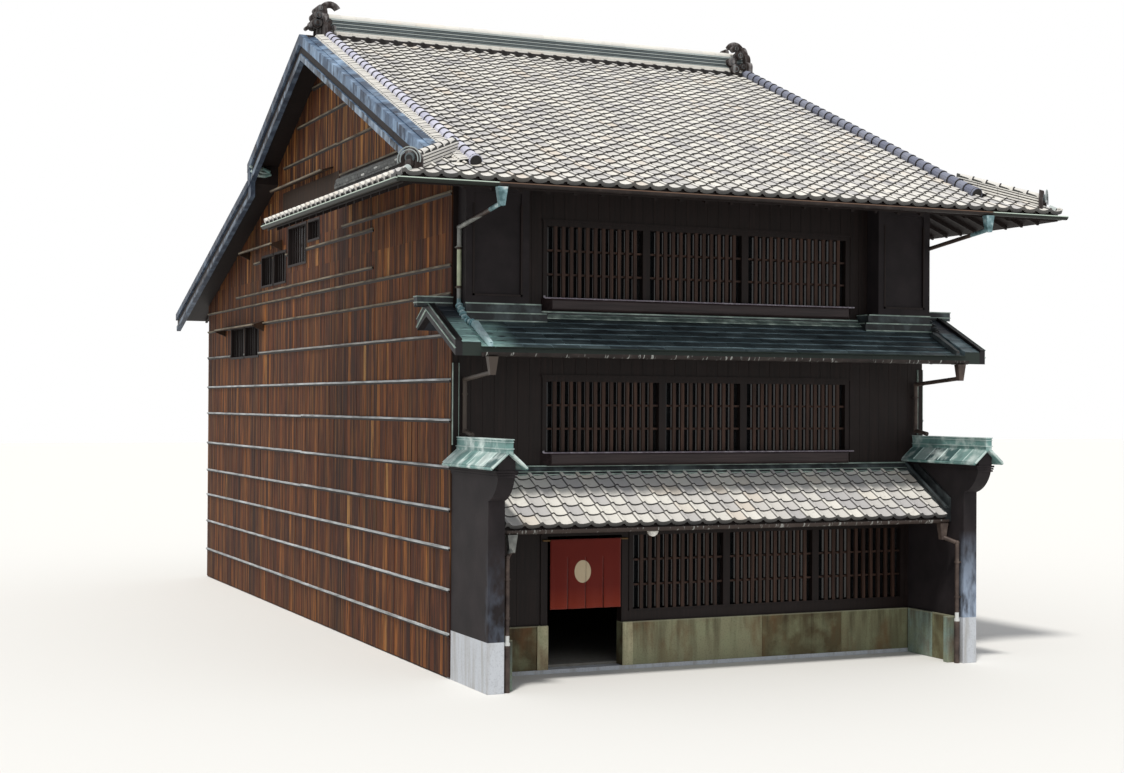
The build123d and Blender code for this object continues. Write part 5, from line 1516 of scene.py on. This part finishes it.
class MACHIYA_OT_dado_slabs(bpy.types.Operator):
    """Stone slabs of the dado, with open joints, and the faces of the granite bases"""

    bl_idname = "machiya.dado_slabs"
    bl_label = "Dado"

    def execute(self, context):
        gap = context.scene.machiya_front.joint / 2
        heap = Heap(420)
        for edges in ((-WING_IN + 0.05, -2.80), (-1.20, 1.093, 2.0, 2.573, WING_IN - 0.05)):
            for a, b in zip(edges, edges[1:]):
                heap.box((a + gap, -0.051, DADO_FOOT), (b - gap, 0.0, DADO_TOP))
        for x1, x2 in ((-2.80, -2.62), (-1.38, -1.20)):
            heap.box((x1 + 0.001, -0.066, DADO_FOOT), (x2 - 0.001, 0.0, DADO_TOP), 0.9)
        for side in (-1, 1):
            for a, b in ((-1.22, -0.74), (-0.74, -0.062)):
                heap.box((side * (WING_IN - 0.051), a + gap, 0.004), (side * WING_IN, b - gap, DADO_TOP))
            heap.box((side * (WING_IN - 0.186), -1.336, 0.004), (side * WING_IN, -1.224, DADO_TOP), 1.0)
        heap.piece("dado_slabs", "dado_stone")
        return {"FINISHED"}


class MACHIYA_OT_lamp_globe(bpy.types.Operator):
    """White glass globe with its collar, under the eave of the tiled roof"""

    bl_idname = "machiya.lamp_globe"
    bl_label = "Lamp"

    def execute(self, context):
        low, high = CAD["lamp"]
        centre = Vector(((low.x + high.x) / 2, (low.y + high.y) / 2, low.z + 0.028))
        globe, collar = Heap(440), Heap(441)
        radius = 0.088
        for a, b in shares(-pi / 2, pi / 2, 10):
            globe.rod(centre + Vector((0, 0, radius * sin(a))), centre + Vector((0, 0, radius * sin(b))),
                      max(radius * cos(a), 0.002), 20, 0.5, max(radius * cos(b), 0.002))
        foot = centre + Vector((0, 0, radius * 0.8))
        collar.rod(foot, foot + Vector((0, 0, 0.05)), 0.058, 16)
        globe.piece("lamp_globe", "lamp_glass", smooth=True)
        collar.piece("lamp_collar", "front_timber")
        return {"FINISHED"}


class ClothSizes(bpy.types.PropertyGroup):
    width: FloatProperty(name="Width", description="Width of the entrance cloth", default=1.18, unit="LENGTH")
    length: FloatProperty(name="Length", description="Length of the cloth before it was hung", default=1.12,
                          unit="LENGTH")
    panels: IntProperty(name="Panels", description="Panels side by side, sewn together at their tops", default=4, min=1)
    fold: FloatProperty(name="Fold", description="Depth of the folds at the foot", default=0.008, unit="LENGTH")


class MACHIYA_OT_noren(bpy.types.Operator):
    """Cloth in panels that hangs from the rod across the entrance"""

    bl_idname = "machiya.noren"
    bl_label = "Entrance cloth"

    def execute(self, context):
        sizes = context.scene.machiya_cloth
        low, high = CAD["noren"]
        y, top, foot = (low.y + high.y) / 2, high.z + 0.013, low.z
        around, seam, levels, steps = 0.0155, top - 0.055, 26, 10
        path = [(y + 0.006, seam), *((y + around * cos(k * pi / 8), top + around * sin(k * pi / 8)) for k in range(9)),
                (y - 0.006, seam), *((y - 0.003, seam + (foot - seam) * k / levels) for k in range(1, levels + 1))]
        sewn = high.z - 0.26
        across = sizes.width / sizes.panels
        points, faces = [], []
        for panel in range(sizes.panels):
            base = len(points)
            drift = (0.6, -0.8, 0.9, -0.5)[panel % 4]
            for y, z in path:
                free = max(0.0, min(1.0, (sewn - z) / (sewn - foot)))
                gaps = (0.004 * free, *[0] * (steps - 1), -0.004 * free)
                fold = sizes.fold * (0.25 + 0.75 * free) * (0.3 + 0.7 * free) if z < seam + 0.005 else 0.0
                for step, gap in enumerate(gaps):
                    u = step / steps
                    wave = fold * sin(2 * pi * (u * 1.1 + 0.21 * panel))
                    points.append((low.x + across * (panel + u) + gap, y + wave + 0.004 * drift * free, z))
            for row in range(len(path) - 1):
                for a in range(base + row * (steps + 1), base + row * (steps + 1) + steps):
                    faces.append((a, a + 1, a + steps + 2, a + steps + 1))
        mesh = bpy.data.meshes.new("noren_cloth")
        mesh.from_pydata(points, [], faces)
        with_bmesh(mesh, lambda work: bmesh.ops.remove_doubles(
            work, verts=[v for v in work.verts if v.co.z > sewn], dist=0.0005))
        with_bmesh(mesh, lambda work: bmesh.ops.solidify(work, geom=work.faces[:], thickness=0.0012))
        cloth = piece("noren_cloth", mesh, "red_cloth", smooth=True)
        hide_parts("noren")
        return {"FINISHED"}


# ------------------------------------------------------------------ CAD parts that keep their shape

PAINTED = {
    "granite": ("sill_stone", "wing_bases"),
    "ground_stone": ("ground_slab",),
    "floor_boards": ("second_floor", "third_floor"),
    "front_timber": ("front_wall_left", "front_wall_lintel", "front_wall_right", "front_wall_second",
                     "front_wall_third", "window_frames", "door_frame", "roof_front", "roof_rear", "roof_rear_lower",
                     "side_roof_left", "side_roof_right", "tiled_pent_roof"),
    "shaded_boards": ("gable_panels", "window_hoods"),
    "rail_timber": ("rail_second", "rail_third"),
    "lattice_timber": ("lattice_ground", "lattice_second", "lattice_third"),
    "weathered_boards": ("left_wall", "right_wall", "rear_wall"),
    "ridge_shade": ("ridge_stack", "corner_ridges"),
    "joint_shade": ("wall_stacks",),
    "brown_clay": ("ridge_ornaments", "corner_ornaments"),
    "barge_copper": ("bargeboards_left", "bargeboards_right"),
    "patina_copper": ("copper_roof",),
    "dark_copper": ("panel_bases", "copper_ridge_boxes", "pent_flashing", "pent_kerbs"),
    "cap_copper": ("wing_caps",),
    "black_plaster": ("wing_wall_left", "wing_wall_right", "wing_corbels", "end_panels"),
    "dado_stone": ("dado",),
    "gutter_copper": ("main_gutters", "copper_gutter", "pent_gutter"),
    "pipe_copper": ("downpipes",),
    "window_glass": ("front_glass", "side_glass"),
    "red_cloth": ("noren",),
    "bamboo": ("noren_rod",),
    "lamp_glass": ("lamp",),
}


class MACHIYA_OT_cad_finishes(bpy.types.Operator):
    """Finishes of the CAD parts that keep their shape"""

    bl_idname = "machiya.cad_finishes"
    bl_label = "Finishes"

    def execute(self, context):
        for finish, nodes in PAINTED.items():
            for node in nodes:
                slots = NODES[node].material_slots
                for slot in slots:
                    slot.material = finish_for(finish)
                if not slots:
                    NODES[node].data.materials.append(finish_for(finish))
        return {"FINISHED"}


# ------------------------------------------------------------------ stage

FLOOR_REACH, FLOOR_Z = 150.0, -0.002
KEY_WAY, KEY_SPREAD, KEY_COLOUR = (0.30, 0.36, -1.0), 6, (1.0, 0.97, 0.92)


class StageSizes(bpy.types.PropertyGroup):
    key_strength: FloatProperty(name="Key light", description="Strength of the key light", default=2.6, min=0)
    fill_strength: FloatProperty(name="Fill light", description="Strength of the light from all round", default=0.62,
                                 min=0)
    eye: FloatVectorProperty(name="Eye", description="Where the camera stands", default=(-13.067, -24.2, 4.066),
                             subtype="TRANSLATION", unit="LENGTH")
    lens: FloatProperty(name="Lens", description="Focal length on a 36 mm frame", default=55.896, min=10, unit="CAMERA")
    turn: FloatProperty(name="Turn", description="Angle of the view to the right, in degrees", default=23.807)
    rise: FloatProperty(name="Rise", description="Angle of the view upwards, in degrees", default=0.566)
    roll: FloatProperty(name="Roll", description="Roll of the camera, in degrees", default=0.321)


def studio_floor():
    """Pale floor under the house."""
    mesh = bpy.data.meshes.new("studio_floor")
    corners = [(x * FLOOR_REACH, y * FLOOR_REACH, FLOOR_Z) for x, y in ((-1, -1), (1, -1), (1, 1), (-1, 1))]
    mesh.from_pydata(corners, [], [(0, 1, 2, 3)])
    mesh.materials.append(Finish("studio_floor", Roughness=0.9).done((226, 225, 222)))
    return bpy.data.objects.new("studio_floor", mesh)


def key_light(strength):
    """Sun from the upper left, in front of the house."""
    sun = bpy.data.lights.new("key_light", "SUN")
    sun.energy, sun.angle, sun.color = strength, radians(KEY_SPREAD), KEY_COLOUR
    key = bpy.data.objects.new("key_light", sun)
    key.rotation_euler = Vector(KEY_WAY).to_track_quat("-Z", "Y").to_euler()
    return key


def studio_world(strength):
    """Even light from all round, in front of a white that the camera, metal and glass see."""
    world = bpy.data.worlds.new("studio_world")
    world.use_nodes = True
    world.node_tree.nodes.clear()
    net = Net(world.node_tree)
    seen, glossy, through = (net.node("ShaderNodeLightPath", out=number) for number in (0, 3, 7))
    fill = net.node("ShaderNodeBackground", {}, {"Color": (0.93, 0.96, 1.0, 1.0), "Strength": strength})
    shown = net.node("ShaderNodeBackground", {}, {"Color": (1.0, 1.0, 1.0, 1.0), "Strength": 1.0})
    both = net.node("ShaderNodeMixShader", {}, {0: (seen + glossy + through).clamp(), 1: fill, 2: shown})
    net.node("ShaderNodeOutputWorld", {}, {"Surface": both})
    return world


def street_camera(sizes):
    """Camera with the photo's angle."""
    turn, rise, roll = radians(sizes.turn), radians(sizes.rise), radians(sizes.roll)
    ahead = Vector((sin(turn) * cos(rise), cos(turn) * cos(rise), sin(rise)))
    level = Vector((cos(turn), -sin(turn), 0.0))
    upright = level.cross(ahead)
    right, up = level * cos(roll) + upright * sin(roll), upright * cos(roll) - level * sin(roll)
    eye = bpy.data.cameras.new("street_view")
    eye.sensor_width, eye.sensor_fit, eye.lens, eye.clip_end = 36.0, "HORIZONTAL", sizes.lens, 500.0
    camera = bpy.data.objects.new("street_view", eye)
    camera.matrix_world = Matrix((right, up, -ahead)).transposed().to_4x4()
    camera.location = sizes.eye
    return camera


class MACHIYA_OT_stage(bpy.types.Operator):
    """Pale floor, soft studio light and the camera"""

    bl_idname = "machiya.stage"
    bl_label = "Stage"

    def execute(self, context):
        sizes = context.scene.machiya_stage
        ground, key, camera = studio_floor(), key_light(sizes.key_strength), street_camera(sizes)
        for thing in (ground, key, camera):
            context.scene.collection.objects.link(thing)
        context.scene.world = studio_world(sizes.fill_strength)
        context.scene.camera = camera
        context.scene.view_settings.view_transform = "Standard"
        return {"FINISHED"}


PROPERTIES = (("machiya_tiles", TileSizes), ("machiya_boards", BoardSizes), ("machiya_copper", CopperSizes),
              ("machiya_front", FrontSizes), ("machiya_cloth", ClothSizes), ("machiya_stage", StageSizes))
OPERATORS = (MACHIYA_OT_cad_finishes, MACHIYA_OT_roof_tiles, MACHIYA_OT_verge_tiles, MACHIYA_OT_ridge, MACHIYA_OT_hips,
             MACHIYA_OT_ornament_scrolls, MACHIYA_OT_wall_stacks, MACHIYA_OT_bargeboards, MACHIYA_OT_side_boards,
             MACHIYA_OT_side_windows, MACHIYA_OT_copper_sheets, MACHIYA_OT_pipe_shoes, MACHIYA_OT_flashings,
             MACHIYA_OT_wing_caps, MACHIYA_OT_pent_kerbs, MACHIYA_OT_front_boards, MACHIYA_OT_rafters,
             MACHIYA_OT_dado_slabs, MACHIYA_OT_lamp_globe, MACHIYA_OT_noren, MACHIYA_OT_stage)


class MACHIYA_PT_panel(bpy.types.Panel):
    """Sizes and steps of the machiya townhouse"""

    bl_idname = "MACHIYA_PT_panel"
    bl_label = "Machiya townhouse"
    bl_space_type = "VIEW_3D"
    bl_region_type = "UI"
    bl_category = "Machiya"

    def draw(self, context):
        for name, group in PROPERTIES:
            box = self.layout.box()
            for key in group.__annotations__:
                box.prop(getattr(context.scene, name), key)
        for operator in OPERATORS:
            self.layout.operator(operator.bl_idname)


def register():
    for name, group in PROPERTIES:
        bpy.utils.register_class(group)
        setattr(bpy.types.Scene, name, PointerProperty(type=group))
    for kind in (*OPERATORS, MACHIYA_PT_panel):
        bpy.utils.register_class(kind)


def unregister():
    for kind in (MACHIYA_PT_panel, *reversed(OPERATORS)):
        bpy.utils.unregister_class(kind)
    for name, group in reversed(PROPERTIES):
        delattr(bpy.types.Scene, name)
        bpy.utils.unregister_class(group)


def main():
    register()
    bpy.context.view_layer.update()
    for operator in OPERATORS:
        step = operator.bl_idname.split(".")[1]
        getattr(bpy.ops.machiya, step)()
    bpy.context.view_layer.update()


if __name__ == "__main__":
    main()
